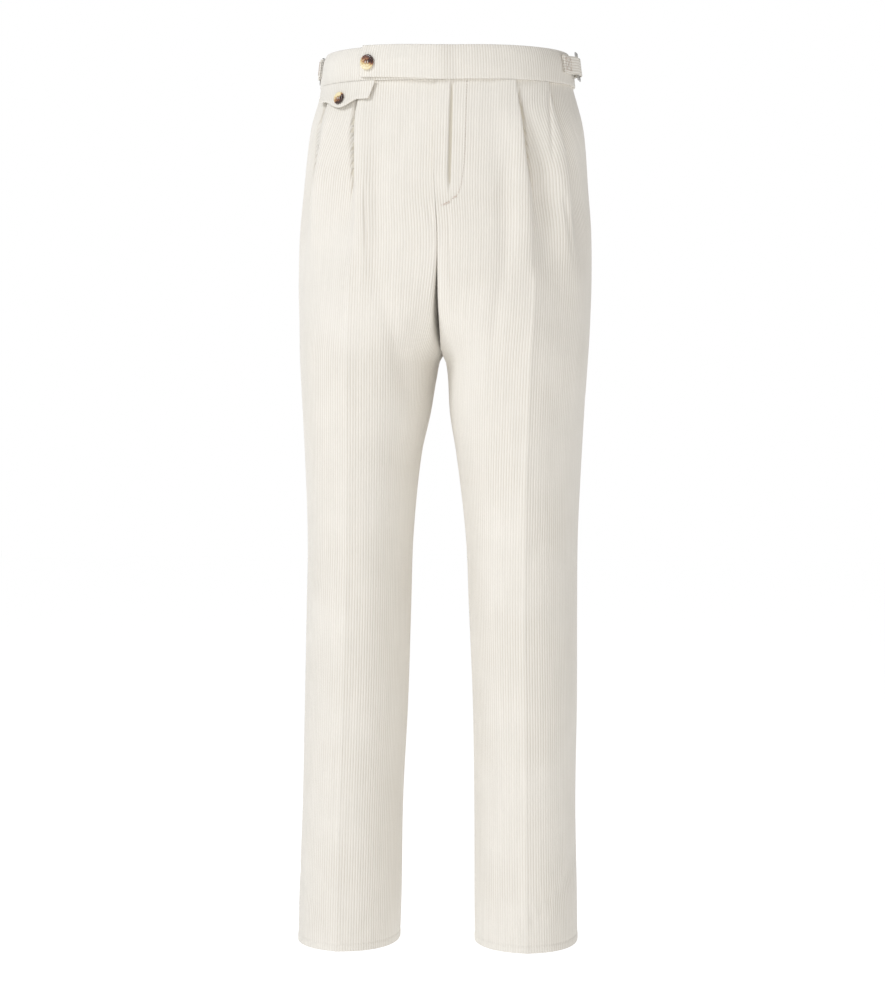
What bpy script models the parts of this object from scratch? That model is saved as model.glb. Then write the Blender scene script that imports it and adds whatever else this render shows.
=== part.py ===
"""Corduroy trousers with two reverse pleats a side, filled out as if worn.

Every cloth piece is a thin wall on one family of level sections. Lengths are in millimetres in the
functions, and become metres when a mesh is made. +Z is up, the front faces -Y and the wearer's left is
+X. The origin is the middle of the waist, halfway up the waistband.
"""
import functools
import math

import bmesh
import bpy
import numpy as np
from mathutils import Matrix, Vector

NAME = "corduroy_trousers"
MM = 0.001

# ---------------------------------------------------------------- driving dimensions
CLOTH = 1.5                 # wall of one layer
SEAM_GAP = 0.3              # between pieces that are sewn together
BAND_HEIGHT = 40.0
BAND_WALL = 2.6             # two layers and the stiffening between them
BAND_SWELL = 0.6            # how far its face rounds out at mid-height
BAND_PROUD = 3.2            # the band's face, outside the panels' face
CROTCH = -252.0             # height of the fork's lowest point
FORK_TOP = -160.0           # where the centre seams begin to curve under
FORK_ROUND = 15.0           # rounding where a thigh turns in against the other
HEM = -1050.0
LEFT_LEG_LIFT = 4.5         # the left leg hangs this much higher at the hem
SIDE_RISE = {-1: 4.0, 1: 2.0}   # of the waist at the right and left side seams
BACK_RISE = 14.0            # of the waist at the centre back above the centre front
WAIST_DEPTH = 105.0         # half of it, front to back
WAIST_WIDTH = 150.0         # likewise, side to side
SIDE_FULLNESS = 2.2         # 2 is an ellipse, more is squarer

FLY_BOTTOM = -134.0
FLY_RAISE = CLOTH + SEAM_GAP
FLY_UNDERLAP = 12.0         # how far the right front passes beneath the left one
FLY_OVERLAP = 1.2           # how far the left front's edge passes the centre line
FLY_FLAT = 14.0             # width of the raised edge before it slopes down
FLY_SLOPE = 18.0

TAB_LENGTH = 94.0           # of the waistband's end past the centre front
TAB_CORNER = 5.0
TAB_RISE = 1.5              # of its top at the end, where it is buttoned a little high
TAB_NARROWER = 2.5          # there than the band
FLAP_HALF_TOP = 47.0
FLAP_HALF_BOTTOM = 41.0
FLAP_SIDE_DROP = 21.0
FLAP_POINT_DROP = 29.5
FLAP_BUTTON = -119.5        # distance round the waist from the centre front, to the wearer's right
FLAP_OFF = 1.2              # its back, outside the band's face
CREASE_HEIGHT = 3.0
CREASE_WIDTH = 10.0

BAND_FACE = BAND_PROUD + BAND_SWELL
BAND_TOP = BAND_HEIGHT / 2
WAIST_SEAM = -BAND_HEIGHT / 2
PANEL_TOP = WAIST_SEAM - SEAM_GAP / 2
HALF_GAP = SEAM_GAP / 2
CORNER_LEAST = 16.0         # width of the first stretch of columns beside a centre seam or inseam

# Half sections by height: the outer side and the inner leg are distances from the centre line, which
# leans to the wearer's right by "lean". An inner leg past the centre line (below 0) is pressed flat
# there, and above the fork it is open. "fullness" is that of the side next to the other leg.
SECTION_COLUMNS = ("height", "outer", "inner_right", "inner_left", "front", "back", "fullness", "lean")
SECTIONS = (
    (20, 141.5, -141.5, -141.5, 106.5, 101.5, 2.1, 0.0),
    (13, 145.2, -145.2, -145.2, 108, 103, 2.1, 0.0),
    (5, 147.2, -147.2, -147.2, 109, 104, 2.1, 0.0),
    (-20, 150.5, -150.5, -150.5, 110, 106, 2.1, 0.0),
    (-40, 156.5, -156.5, -156.5, 113, 111, 2.1, -0.4),
    (-64, 163.2, -163.2, -163.2, 116, 117, 2.1, -0.8),
    (-90, 167.0, -167.0, -167.0, 118, 123, 2.1, -1.2),
    (-140, 171.6, -171.0, -171.0, 121, 133, 2.15, -2.2),
    (-190, 176.0, -160.0, -160.0, 121, 139, 2.2, -2.8),
    (-252, 176.6, -100.0, -100.0, 117, 130, 2.4, -3.6),
    (-300, 174.8, -36.0, -38.0, 111, 115, 2.45, -4.2),
    (-335, 173.6, -3.0, -6.0, 108, 107, 2.4, -4.8),
    (-356, 172.6, 6.0, 3.0, 106, 103, 2.4, -4.9),
    (-405, 170.2, 17.6, 9.6, 101, 95, 2.35, -4.9),
    (-454, 167.6, 28.4, 17.4, 97, 89, 2.3, -5.0),
    (-552, 164.0, 37.4, 29.4, 90, 80, 2.25, -5.8),
    (-637, 164.6, 39.0, 34.0, 85, 77, 2.2, -6.9),
    (-759, 166.2, 41.5, 40.5, 78, 82, 2.15, -8.5),
    (-881, 167.0, 45.5, 44.5, 73, 82, 2.1, -10.8),
    (-991, 170.4, 46.0, 46.0, 71, 77, 2.1, -12.0),
    (-1050, 171.6, 47.5, 46.8, 70, 73, 2.1, -12.4),
)

# Distances of the front crease from the centre line. Above the fork it is the inner pleat's edge.
CREASE_COLUMNS = ("height", "right", "left")
CREASES = (
    (-20, 94, 89.5),
    (-60, 99, 96),
    (-110, 101, 103),
    (-150, 100, 110),
    (-200, 99, 114),
    (-270, 100, 115),
    (-393, 102, 110),
    (-490, 103.5, 107),
    (-640, 105, 106.5),
    (-820, 109, 110.5),
    (-1050, 114, 115),
)

# The outer pleat's edge, likewise, down to where it has opened.
SECOND_PLEAT_COLUMNS = ("height", "right", "left")
SECOND_PLEAT = (
    (-20, 134, 127),
    (-60, 142, 133.5),
    (-110, 150, 137.5),
    (-150, 156, 140),
    (-230, 160, 148),
)

# Folded cloth of each pleat, from the centre outward.
# Columns: name, reversed layer, height where it is pressed shut, height where it has opened, share of
# its depth that stands out of the cloth round it.
PLEATS = (
    ("inner", 14.0, -44.0, -250.0, 0.48),
    ("outer", 10.0, -44.0, -235.0, 0.48),
)
CREST_RADIUS = 1.95         # outside of a pressed fold, which leaves a gap between its layers
HOLLOW_RADIUS = 0.5         # the fold beneath it
OPEN_TURN = 11.0            # length of cloth in each turn once the pleat has opened
PLEAT_RAMP = 34.0           # width over which the cloth rises to a pleat's edge

# Soft ridges (+) and troughs (-). Columns: panel, top and bottom height, distances from the centre line
# at the top and the bottom, half width, and rise.
FOLDS = (
    ("front_left", -26, -310, 133, 172, 9, 3.6),
    ("front_left", -40, -300, 83, 84, 10, -2.4),
    ("front_left", -150, -330, 134, 128, 11, -3.0),
    ("front_right", -40, -290, 86, 82, 8, 2.0),
    ("front_right", -60, -300, 70, 68, 10, -2.6),
    ("front_right", -140, -330, 128, 124, 13, -2.0),
    ("back_left", -60, -330, 70, 104, 16, -3.0),
    ("back_left", -230, -420, 60, 120, 14, -3.5),
    ("back_right", -70, -340, 76, 108, 16, -3.0),
    ("back_right", -240, -400, 64, 118, 13, -3.0),
    ("back_left", -560, -700, 130, 80, 16, -2.6),
    ("back_right", -575, -690, 124, 78, 16, -2.4),
    ("front_left", -520, -650, 140, 96, 15, -1.6),
    ("front_right", -530, -640, 138, 92, 14, -1.5),
)

FRONT_ROWS = (PANEL_TOP, -30, -42, -56, -72, -90, -108, -121, -133, -150, -165, -182, -200, -216, -230, -240,
              -246.5, -250.5, CROTCH, -266, -284, -304, -324, -344, -370, -410, -470, -560, -680, -800, -920,
              -1020, HEM)
BACK_ROWS = (PANEL_TOP, -45, -75, -110, -140, -165, -190, -212, -230, -241, -248, CROTCH, -268, -288, -308,
             -328, -350, -385, -430, -500, -600, -700, -800, -900, -1000, HEM)
ARC_SAMPLES = 361


# ---------------------------------------------------------------- tables and small curves
def smooth_column(table, columns, name, height):
    """A column's value at a height, on a smooth curve through its rows."""
    at = columns.index(name)
    heights = [row[0] for row in table]
    values = [row[at] for row in table]
    if height >= heights[0]:
        return float(values[0])
    if height <= heights[-1]:
        return float(values[-1])
    i = next(k for k in range(len(heights) - 1) if height >= heights[k + 1])

    def slope(k):
        low, high = max(k - 1, 0), min(k + 1, len(heights) - 1)
        return (values[high] - values[low]) / (heights[high] - heights[low])

    span = heights[i + 1] - heights[i]
    t = (height - heights[i]) / span
    return float((2 * t ** 3 - 3 * t ** 2 + 1) * values[i] + (t ** 3 - 2 * t ** 2 + t) * span * slope(i)
                 + (3 * t ** 2 - 2 * t ** 3) * values[i + 1] + (t ** 3 - t ** 2) * span * slope(i + 1))


def ease(t):
    """0 to 1, level at both ends."""
    t = np.clip(t, 0.0, 1.0)
    return t * t * (3 - 2 * t)


def side_name(side):
    return "left" if side > 0 else "right"


# ---------------------------------------------------------------- level sections
def fork_share(height):
    """How much of a section's depth is open between the legs: all of it at the fork's top, then less."""
    down = min(max((FORK_TOP - height) / (FORK_TOP - CROTCH), 0.0), 1.0)
    return math.sqrt(1.0 - down * down)


def turn_in(x, y, end):
    """Carry a curve on along the centre plane, from its last point to depth end, by a rounded corner."""
    round_off = min(FORK_ROUND, 0.8 * (y[-1] - end))
    length = np.concatenate([[0.0], np.cumsum(np.hypot(np.diff(x), np.diff(y)))])
    begin = length[-1] - round_off
    keep = length < begin
    start = np.array([np.interp(begin, length, x), np.interp(begin, length, y)])
    corner = np.array([x[-1], y[-1]])
    stop = np.array([x[-1], y[-1] - round_off])
    t = np.linspace(0.0, 1.0, 13)[:, None]
    bend = (1 - t) ** 2 * start + 2 * t * (1 - t) * corner + t ** 2 * stop
    flat = np.linspace(stop[1], end, 40)[1:]
    return (np.concatenate([x[keep], bend[:, 0], np.full(len(flat), x[-1])]),
            np.concatenate([y[keep], bend[:, 1], flat]))


def corner_position(side, height, front):
    """Distance from the centre edge or inseam to where the thigh turns in, at least a seam's width."""
    inner = smooth_column(SECTIONS, SECTION_COLUMNS, "inner_" + side_name(side), height)
    x, _, _, length = half_section(side, height, front, -HALF_GAP)
    if height >= FORK_TOP or inner > HALF_GAP:
        return CORNER_LEAST
    flat = length[-1] - float(np.interp(-HALF_GAP - 0.2, -x, length))
    return max(flat, CORNER_LEAST)


@functools.lru_cache(maxsize=None)
def half_section(side, height, front, reach):
    """The front or back half of one side's level section, from the side seam to the centre or the inseam.

    Returns distances from the centre line, depths, outward directions and lengths along the curve.
    "reach" is how far it goes past the centre line, or short of it if negative.
    """
    outer = smooth_column(SECTIONS, SECTION_COLUMNS, "outer", height)
    inner = smooth_column(SECTIONS, SECTION_COLUMNS, "inner_" + side_name(side), height)
    fullness = smooth_column(SECTIONS, SECTION_COLUMNS, "fullness", height)
    depth = smooth_column(SECTIONS, SECTION_COLUMNS, "front" if front else "back", height)
    half = (outer - inner) / 2
    middle = (outer + inner) / 2
    share = max((-reach - middle) / half, -1.0)
    squareness = SIDE_FULLNESS if share > 0 else fullness
    end_angle = math.acos(math.copysign(abs(share) ** (squareness / 2), share))
    angle = np.linspace(0.0, end_angle, ARC_SAMPLES)
    power = np.where(np.cos(angle) >= 0, 2 / SIDE_FULLNESS, 2 / fullness)
    x = middle + half * np.sign(np.cos(angle)) * np.abs(np.cos(angle)) ** power
    y = depth * np.abs(np.sin(angle)) ** power
    if share > -1.0 and height < FORK_TOP:
        x, y = turn_in(x, y, y[-1] * fork_share(height))
    y = -y if front else y
    length = np.concatenate([[0.0], np.cumsum(np.hypot(np.diff(x), np.diff(y)))])
    along = np.stack([np.gradient(x, length), np.gradient(y, length)], axis=1)
    along /= np.linalg.norm(along, axis=1)[:, None]
    turn = 1.0 if front else -1.0
    outward = np.stack([-turn * along[:, 1], turn * along[:, 0]], axis=1)
    return x, y, outward, length


def point_on_half(side, height, front, from_seam, lift, reach=-HALF_GAP):
    """The point at a distance round from the side seam, moved outward by lift."""
    x, y, outward, length = half_section(side, height, front, reach)
    px = np.interp(from_seam, length, x) + lift * np.interp(from_seam, length, outward[:, 0])
    py = np.interp(from_seam, length, y) + lift * np.interp(from_seam, length, outward[:, 1])
    lean = smooth_column(SECTIONS, SECTION_COLUMNS, "lean", height)
    backward = np.clip(0.5 + py / (2 * WAIST_DEPTH), 0.0, 1.2)
    rise = BACK_RISE * backward ** 2 * ease((height - CROTCH) / (WAIST_SEAM - CROTCH))
    rise = rise + SIDE_RISE[side] * np.clip(px / WAIST_WIDTH, 0.0, 1.0) * ease((height - CROTCH) / 200.0)
    if side > 0:
        rise = rise + LEFT_LEG_LIFT * ease((CROTCH - height) / (CROTCH - HEM))
    return np.stack([lean + side * px, py, height + rise], axis=-1)


def distance_at(side, height, from_centre, reach):
    """Length from the side seam to where a front's curve is this far from the centre line."""
    x, _, _, length = half_section(side, height, True, reach)
    return float(np.interp(-from_centre, -x, length))


def half_waist(height=WAIST_SEAM):
    """Distance round from the centre front to the side seam, and on to the centre back."""
    return half_section(1, height, True, 0.0)[3][-1], half_section(1, height, False, -HALF_GAP)[3][-1]


def around_waist(height, position, lift):
    """A point by its distance round the waist seam from the centre front, positive to the wearer's left.

    Below the waist seam the distance is taken on the wider section there.
    """
    side = 1 if position >= 0 else -1
    front, back = half_waist(height)
    seam_front, seam_back = half_waist()
    from_seam = front - abs(position) * min(front / seam_front, 1.0)
    if from_seam >= 0:
        return point_on_half(side, height, True, np.array([from_seam]), lift, 0.0)[0]
    behind = (abs(position) - max(seam_front, front)) * min(back / seam_back, 1.0)
    return point_on_half(side, height, False, np.array([behind]), lift, 0.0)[0]


# ---------------------------------------------------------------- soft folds
def soft_folds(panel, height, x):
    """Height of the hand-placed ridges and troughs at distances x from the centre line."""
    total = np.zeros_like(x)
    for name, top, bottom, x_top, x_bottom, half_width, rise in FOLDS:
        if name != panel or not bottom < height < top:
            continue
        t = (top - height) / (top - bottom)
        centre = x_top + (x_bottom - x_top) * t
        total += rise * math.sin(math.pi * t) ** 0.8 * np.exp(-((x - centre) / half_width) ** 2)
    return total


# ---------------------------------------------------------------- pleats
def pleat_turns(pleat, height):
    """Turning angle, and the cloth's length in the crest, the reversed layer and the hollow."""
    _, reversed_layer, shut, opened, _ = pleat
    t = min(max((shut - height) / (shut - opened), 0.0), 1.0)
    angle = max(math.pi * (1 - t), 0.001)
    crest = math.pi * CREST_RADIUS + (OPEN_TURN - math.pi * CREST_RADIUS) * ease(1.6 * t)
    hollow = math.pi * HOLLOW_RADIUS + (OPEN_TURN - math.pi * HOLLOW_RADIUS) * ease(1.6 * t)
    return angle, float(crest), reversed_layer * (1 - float(ease(2.2 * t))), float(hollow)


def pleat_path(turns, v):
    """Way along (+ to the side seam) and outward of the cloth at a length v into the fold."""
    angle, crest, middle, hollow = turns
    first = np.clip(v, 0, crest)
    second = np.clip(v - crest, 0, middle)
    third = np.clip(v - crest - middle, 0, hollow)
    last = angle * (1 - third / hollow)
    along = (crest / angle * np.sin(angle * first / crest) + math.cos(angle) * second
             + hollow / angle * (math.sin(angle) - np.sin(last)))
    outward = -(crest / angle * (1 - np.cos(angle * first / crest)) + math.sin(angle) * second
                + hollow / angle * (np.cos(last) - math.cos(angle)))
    return along, outward


def front_cloth(side, height, fractions):
    """Columns of a front at one height: positions round from the centre front, and lifts.

    "fractions" holds, for each stretch of cloth from the centre to the side seam, the shares of the
    stretch at which columns lie: beside the seam, the flat to the first pleat, that pleat's crest,
    reversed layer and hollow, the flat between the pleats, the other pleat's three, and the last flat.
    """
    name = side_name(side)
    reach = edge_reach(side, height)
    total = half_section(side, height, True, reach)[3][-1]
    start = 0.0 if height > CROTCH else HALF_GAP
    crease_x = smooth_column(CREASES, CREASE_COLUMNS, name, height)
    second_x = smooth_column(SECOND_PLEAT, SECOND_PLEAT_COLUMNS, name, height)
    crests = [total - distance_at(side, height, crease_x, reach),
              total - distance_at(side, height, second_x, reach)]
    below = min(max((SECOND_PLEAT[-1][0] - height) / 120.0, 0.0), 1.0)
    crests[1] = crests[1] + (0.5 * (crests[0] + total) - crests[1]) * float(ease(below))
    position, lift = [], []
    edge, level = start, 0.0
    for k, pleat in enumerate(PLEATS):
        turns = pleat_turns(pleat, height)
        angle, crest, middle, hollow = turns
        drop = -float(pleat_path(turns, np.array([crest + middle + hollow]))[1][0])
        peak = pleat[4] * drop
        fold_start = crests[k] - crest / angle * math.sin(min(angle, math.pi / 2))
        flat = edge + (fold_start - edge) * np.array(fractions[4 * k + 1])
        if k == 0:
            corner = min(corner_position(side, height, True), 0.8 * fold_start)
            flat = np.concatenate([edge + (corner - edge) * np.array(fractions[0]),
                                   corner + (fold_start - corner) * np.array(fractions[1])])
        ramp = min(PLEAT_RAMP, fold_start - edge)
        rise = ease((flat - fold_start + ramp) / ramp)
        position.append(flat)
        lift.append(level * (1 - ease((flat - edge) / ramp)) + peak * rise)
        offsets = (0.0, crest, crest + middle)
        for part, size in enumerate((crest, middle, hollow)):
            v = offsets[part] + size * np.array(fractions[4 * k + 2 + part])
            along, outward = pleat_path(turns, v)
            position.append(fold_start + along)
            lift.append(peak + outward)
        edge = position[-1][-1]
        level = lift[-1][-1]
    last = edge + (total - HALF_GAP - edge) * np.array(fractions[9])
    position.append(last)
    lift.append(level * (1 - ease((last - edge) / PLEAT_RAMP)))
    return np.concatenate(position), np.concatenate(lift), crests[0], total


def edge_reach(side, height):
    """How far a front's centre edge goes past the centre line."""
    if side > 0:
        return -HALF_GAP + FLY_OVERLAP * float(ease((height - FLY_BOTTOM) / 12.0))
    return -HALF_GAP + FLY_UNDERLAP * float(ease((height - FLY_BOTTOM - 4.0) / 16.0))


def fly_raise(side, height, x):
    """The left front lies on the right one at the fly."""
    if side < 0:
        return np.zeros_like(x)
    fade = float(ease((height - FLY_BOTTOM + 18) / 16.0))
    return FLY_RAISE * fade * (1 - ease((x - FLY_FLAT) / FLY_SLOPE))


# Shares of each stretch of cloth at which the front's columns lie.
FRONT_FRACTIONS = (
    (0.0, 0.35, 0.7),
    (0.0, 0.14, 0.34, 0.58, 0.82),
    (0.0, 0.33, 0.67, 1.0), (1.0,), (0.5, 1.0),
    (0.3, 0.65),
    (0.0, 0.33, 0.67, 1.0), (1.0,), (0.5, 1.0),
    (0.25, 0.5, 0.75, 1.0),
)
BACK_FRACTIONS = (
    (0.0, 0.35, 0.7),
    (0.0, 0.1, 0.22, 0.34, 0.45, 0.56, 0.67, 0.79, 0.9, 1.0),
)
BACK_CREASE = 0.45


def front_row(side, height, fractions=FRONT_FRACTIONS):
    """Outer points of a front at one height, from the centre or inseam to the side seam."""
    position, lift, crease, total = front_cloth(side, height, fractions)
    reach = edge_reach(side, height)
    section_x, _, _, length = half_section(side, height, True, reach)
    x = np.interp(total - position, length, section_x)
    sharp = float(ease((-90 - height) / 160.0))
    lift = lift + soft_folds("front_" + side_name(side), height, x) + fly_raise(side, height, x)
    lift = lift + CREASE_HEIGHT * sharp * np.exp(-np.abs(position - crease) / CREASE_WIDTH)
    points = point_on_half(side, height, True, total - position, lift, reach)
    return keep_to_side(points, side, height, -reach)


def back_row(side, height, fractions=BACK_FRACTIONS):
    """Outer points of a back at one height, from the centre or inseam to the side seam."""
    x, _, _, length = half_section(side, height, False, -HALF_GAP)
    total = length[-1]
    start = 0.0 if height > CROTCH else HALF_GAP
    corner = corner_position(side, height, False)
    position = np.concatenate([start + (corner - start) * np.array(fractions[0]),
                               corner + (total - HALF_GAP - corner) * np.array(fractions[1])])
    crease = corner + (total - corner) * BACK_CREASE
    far = np.interp(total - position, length, x)
    sharp = float(ease((-250 - height) / 160.0))
    lift = soft_folds("back_" + side_name(side), height, far)
    lift = lift + CREASE_HEIGHT * sharp * np.exp(-np.abs(position - crease) / CREASE_WIDTH)
    points = point_on_half(side, height, False, total - position, lift)
    return keep_to_side(points, side, height, HALF_GAP)


def keep_to_side(points, side, height, least):
    """Hold points at least this far on their own side of the centre line."""
    lean = smooth_column(SECTIONS, SECTION_COLUMNS, "lean", height)
    points[..., 0] = lean + side * np.maximum(side * (points[..., 0] - lean), least)
    return points


# ---------------------------------------------------------------- walls
def grid_normals(grid, flip):
    """Unit normals of a grid of points, outward when flip has the right sign."""
    down = np.gradient(grid, axis=0)
    across = np.gradient(grid, axis=1)
    normal = np.cross(across, down) * flip
    return normal / np.linalg.norm(normal, axis=2)[:, :, None]


def wall_object(name, outer, inner, material, holes=()):
    """A closed wall between two equal grids of points, in millimetres, open at the grid cells in holes."""
    rows, columns = outer.shape[:2]
    cells = {(i, j) for i in range(rows - 1) for j in range(columns - 1)} - set(holes)
    bm = bmesh.new()
    skins = [[[bm.verts.new(point * MM) for point in row] for row in grid] for grid in (outer, inner)]
    for i, j in sorted(cells):
        corners = ((i, j), (i, j + 1), (i + 1, j + 1), (i + 1, j))
        beside = ((i - 1, j), (i, j + 1), (i + 1, j), (i, j - 1))
        for skin in skins:
            bm.faces.new([skin[k][m] for k, m in corners])
        for side, (start, end) in zip(beside, zip(corners, corners[1:] + corners[:1])):
            if side not in cells:
                edge = [skins[0][start[0]][start[1]], skins[0][end[0]][end[1]],
                        skins[1][end[0]][end[1]], skins[1][start[0]][start[1]]]
                bm.faces.new(edge)
    bmesh.ops.recalc_face_normals(bm, faces=bm.faces)
    mesh = bpy.data.meshes.new(name)
    bm.to_mesh(mesh)
    bm.free()
    mesh.shade_smooth()
    mesh.set_sharp_from_angle(angle=math.radians(50))
    return place(bpy.data.objects.new(name, mesh), material)


def place(obj, material):
    """Put an object in the garment's collection with its material."""
    obj.data.materials.append(material)
    PARTS.objects.link(obj)
    return obj


def panel_object(name, side, front, material):
    """One leg-and-body panel, made from its rows."""
    make_row = front_row if front else back_row
    heights = [float(height) for height in (FRONT_ROWS if front else BACK_ROWS)]
    outer = np.array([make_row(side, height) for height in heights])
    inner = outer - CLOTH * grid_normals(outer, -side if front else side)
    inner[0, :, 2] = outer[0, :, 2]
    inner[-1, :, 2] = outer[-1, :, 2]
    facing = -1 if front else 1
    for i, height in enumerate(heights):
        inner[i] = keep_to_side(inner[i], side, height, -edge_reach(side, height) if front else HALF_GAP)
        for skin in (outer, inner):
            for column in (0, -1) if height <= CROTCH else (-1,):
                skin[i, column, 1] = facing * max(facing * skin[i, column, 1], HALF_GAP)
    return wall_object(name, outer, inner, material)


# ---------------------------------------------------------------- waistband
BAND_STEP = 19.0            # between its columns
BAND_LEVELS = (0.0, 0.3, 0.6, 0.82, 1.0)


def band_positions(first, last):
    return np.linspace(first, last, int(round(abs(last - first) / BAND_STEP)) + 1)


def waist_wall(name, positions, low, high, lifts, material):
    """Half a waistband. low, high and lifts give, at each position, its edges and outer face."""
    outer, inner = [], []
    for share in BAND_LEVELS:
        rows = ([], [])
        for position, bottom, top, lift in zip(positions, low, high, lifts):
            height = bottom + (top - bottom) * share
            round_out = BAND_SWELL * math.sin(math.pi * share)
            rows[0].append(around_waist(height, position, lift + round_out))
            rows[1].append(around_waist(height, position, lift - BAND_WALL))
        outer.append(rows[0])
        inner.append(rows[1])
    return wall_object(name, np.array(outer), np.array(inner), material)


def waistband_right(material):
    front, back = half_waist()
    positions = band_positions(-HALF_GAP, -(front + back - HALF_GAP))
    count = len(positions)
    return waist_wall("waistband_right", positions, [WAIST_SEAM + HALF_GAP] * count, [BAND_TOP] * count,
                      [BAND_PROUD] * count, material)


def tab_edges(position):
    """Lower and upper edge of the left half at a position. Its free end rises, and has a rounded corner."""
    share = min(max(-position / TAB_LENGTH, 0.0), 1.0)
    inside = max(TAB_CORNER - (TAB_LENGTH + position), 0.0)
    corner = TAB_CORNER - math.sqrt(TAB_CORNER ** 2 - inside ** 2)
    return (WAIST_SEAM + HALF_GAP + (TAB_RISE + TAB_NARROWER) * share + corner, BAND_TOP + TAB_RISE * share)


def waistband_left(material):
    """The left half, whose end climbs over the right half and lies on it."""
    front, back = half_waist()
    over = BAND_FACE + SEAM_GAP + BAND_WALL
    end = [-TAB_LENGTH + TAB_CORNER * share for share in (0.0, 0.12, 0.35, 0.65, 1.0)]
    lap = list(np.linspace(-TAB_LENGTH + TAB_CORNER, -1.5, 7)[1:])
    climb = [3.0, 8.0, 13.0, 18.0, 24.0]
    rest = list(band_positions(climb[-1], front + back - HALF_GAP)[1:])
    positions = np.array(end + lap + climb + rest)
    low, high = zip(*[tab_edges(position) for position in positions])
    lifts = [BAND_PROUD + (over - BAND_PROUD) * (1 - float(ease((position - 2.0) / 22.0)))
             for position in positions]
    return waist_wall("waistband_left", positions, low, high, lifts, material)


# ---------------------------------------------------------------- coin pocket flap
def flap_edge(share):
    """Lower edge of the flap at -1 to 1 across it: square corners, a hollow, and a soft point."""
    point = math.cos(min(abs(share) / 0.62, 1.0) * math.pi / 2) ** 1.5
    return PANEL_TOP - SEAM_GAP - FLAP_SIDE_DROP - (FLAP_POINT_DROP - FLAP_SIDE_DROP) * point


def coin_pocket_flap(material):
    shares = (-1.0, -0.92, -0.75, -0.6, -0.45, -0.3, -0.15, 0.0, 0.15, 0.3, 0.45, 0.6, 0.75, 0.92, 1.0)
    outer, inner = [], []
    for level in (0.0, 0.25, 0.5, 0.75, 1.0):
        rows = ([], [])
        for share in shares:
            corner = 2.5 * max(0.0, (abs(share) - 0.92) / 0.08) ** 2
            bottom = flap_edge(share) + corner
            height = bottom + (PANEL_TOP - SEAM_GAP - bottom) * level
            half = FLAP_HALF_BOTTOM + (FLAP_HALF_TOP - FLAP_HALF_BOTTOM) * level
            lift = BAND_PROUD + FLAP_OFF - 0.6 * level
            rows[0].append(around_waist(height, FLAP_BUTTON + half * share, lift + CLOTH))
            rows[1].append(around_waist(height, FLAP_BUTTON + half * share, lift))
        outer.append(rows[0])
        inner.append(rows[1])
    return wall_object("coin_pocket_flap", np.array(outer), np.array(inner), material)


# ---------------------------------------------------------------- buttons
# Columns: name, diameter, height, distance round from the centre front, lift of the cloth beneath.
BUTTONS = (
    ("waist_button", 18.0, 0.5, -82.0, BAND_FACE + SEAM_GAP + BAND_WALL + BAND_SWELL),
    ("pocket_button", 15.0, -39.0, FLAP_BUTTON, BAND_PROUD + FLAP_OFF + CLOTH - 0.3),
)
# Half profile of a button: share of its radius, and height above the cloth.
BUTTON_PROFILE = ((0.0, 1.9), (0.58, 1.9), (0.72, 2.9), (0.86, 3.0), (0.97, 2.2), (1.0, 1.4), (0.9, 0.3),
                  (0.7, 0.0), (0.0, 0.0))
BUTTON_STEPS = 24


def waist_frame(height, position, lift):
    """Axes on the cloth at the waist: x round it to the wearer's left, y up, z outward."""
    along = Vector(around_waist(height, position + 1.0, lift) - around_waist(height, position - 1.0, lift))
    up = Vector(around_waist(height + 2.0, position, lift) - around_waist(height - 2.0, position, lift))
    along.normalize()
    out = along.cross(up).normalized()
    frame = Matrix((along, out.cross(along), out)).transposed().to_4x4()
    frame.translation = Vector(around_waist(height, position, lift) * MM)
    return frame


def turned_button(name, diameter, height, position, face, material):
    """A button with a raised rim, turned about its own axis and laid on the cloth."""
    mesh = bpy.data.meshes.new(name)
    points = [(share * diameter / 2 * MM, 0.0, rise * MM) for share, rise in BUTTON_PROFILE]
    mesh.from_pydata(points, [(k, k + 1) for k in range(len(points) - 1)], [])
    obj = bpy.data.objects.new(name, mesh)
    turn = obj.modifiers.new("turn", "SCREW")
    turn.steps = BUTTON_STEPS
    turn.render_steps = BUTTON_STEPS
    turn.use_merge_vertices = True
    turn.merge_threshold = 0.00001
    obj.matrix_world = waist_frame(height, position, face + SEAM_GAP)
    return place(obj, material)


# ---------------------------------------------------------------- side adjusters
# Columns: side, distance of the buckle's middle behind the side seam, length of the strap before it, and
# how far the buckle stands off that strap.
ADJUSTERS = (
    (1, -8.0, 30.0, 3.6),
    (-1, 16.0, 40.0, 1.0),
)
ADJUSTER_HEIGHT = 3.5       # the straps' mid-height
STRAP_WIDTH = 21.0
STRAP_WALL = 1.4
STRAP_CLEAR = 0.45          # between the straps and the widest of the band behind them
STRAP_LENGTH = 96.0
STRAP_RETURN = 46.0         # of its end, folded back over the buckle
STRAP_POINT = 9.0
BUCKLE_HEIGHT = 33.0
BUCKLE_WIDTH = 22.0
BUCKLE_PLATE = 1.6
BUCKLE_BAR = 3.0
HOOK_ROOM = 0.8             # between a bar and the cloth that turns round it
HOOK_ALONG = BUCKLE_BAR / 2 + HOOK_ROOM + STRAP_WALL / 2
HOOK_OUT = BUCKLE_PLATE / 2 + HOOK_ROOM + STRAP_WALL / 2


def offset_path(path, distance):
    """The path moved sideways, to the right as it runs."""
    ahead = np.gradient(path, axis=0)
    ahead /= np.linalg.norm(ahead, axis=1)[:, None]
    return path + distance * np.stack([ahead[:, 1], -ahead[:, 0]], axis=1)


def beside_band(behind, side, up, lift):
    """A point behind the side seam and up from the straps' mid-height, flat against the lower band."""
    position = side * (half_waist()[0] + behind)
    low = around_waist(ADJUSTER_HEIGHT - 14.0, position, lift)
    high = around_waist(ADJUSTER_HEIGHT + 2.0, position, lift)
    return low + (high - low) * (up + 14.0) / 16.0


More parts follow.
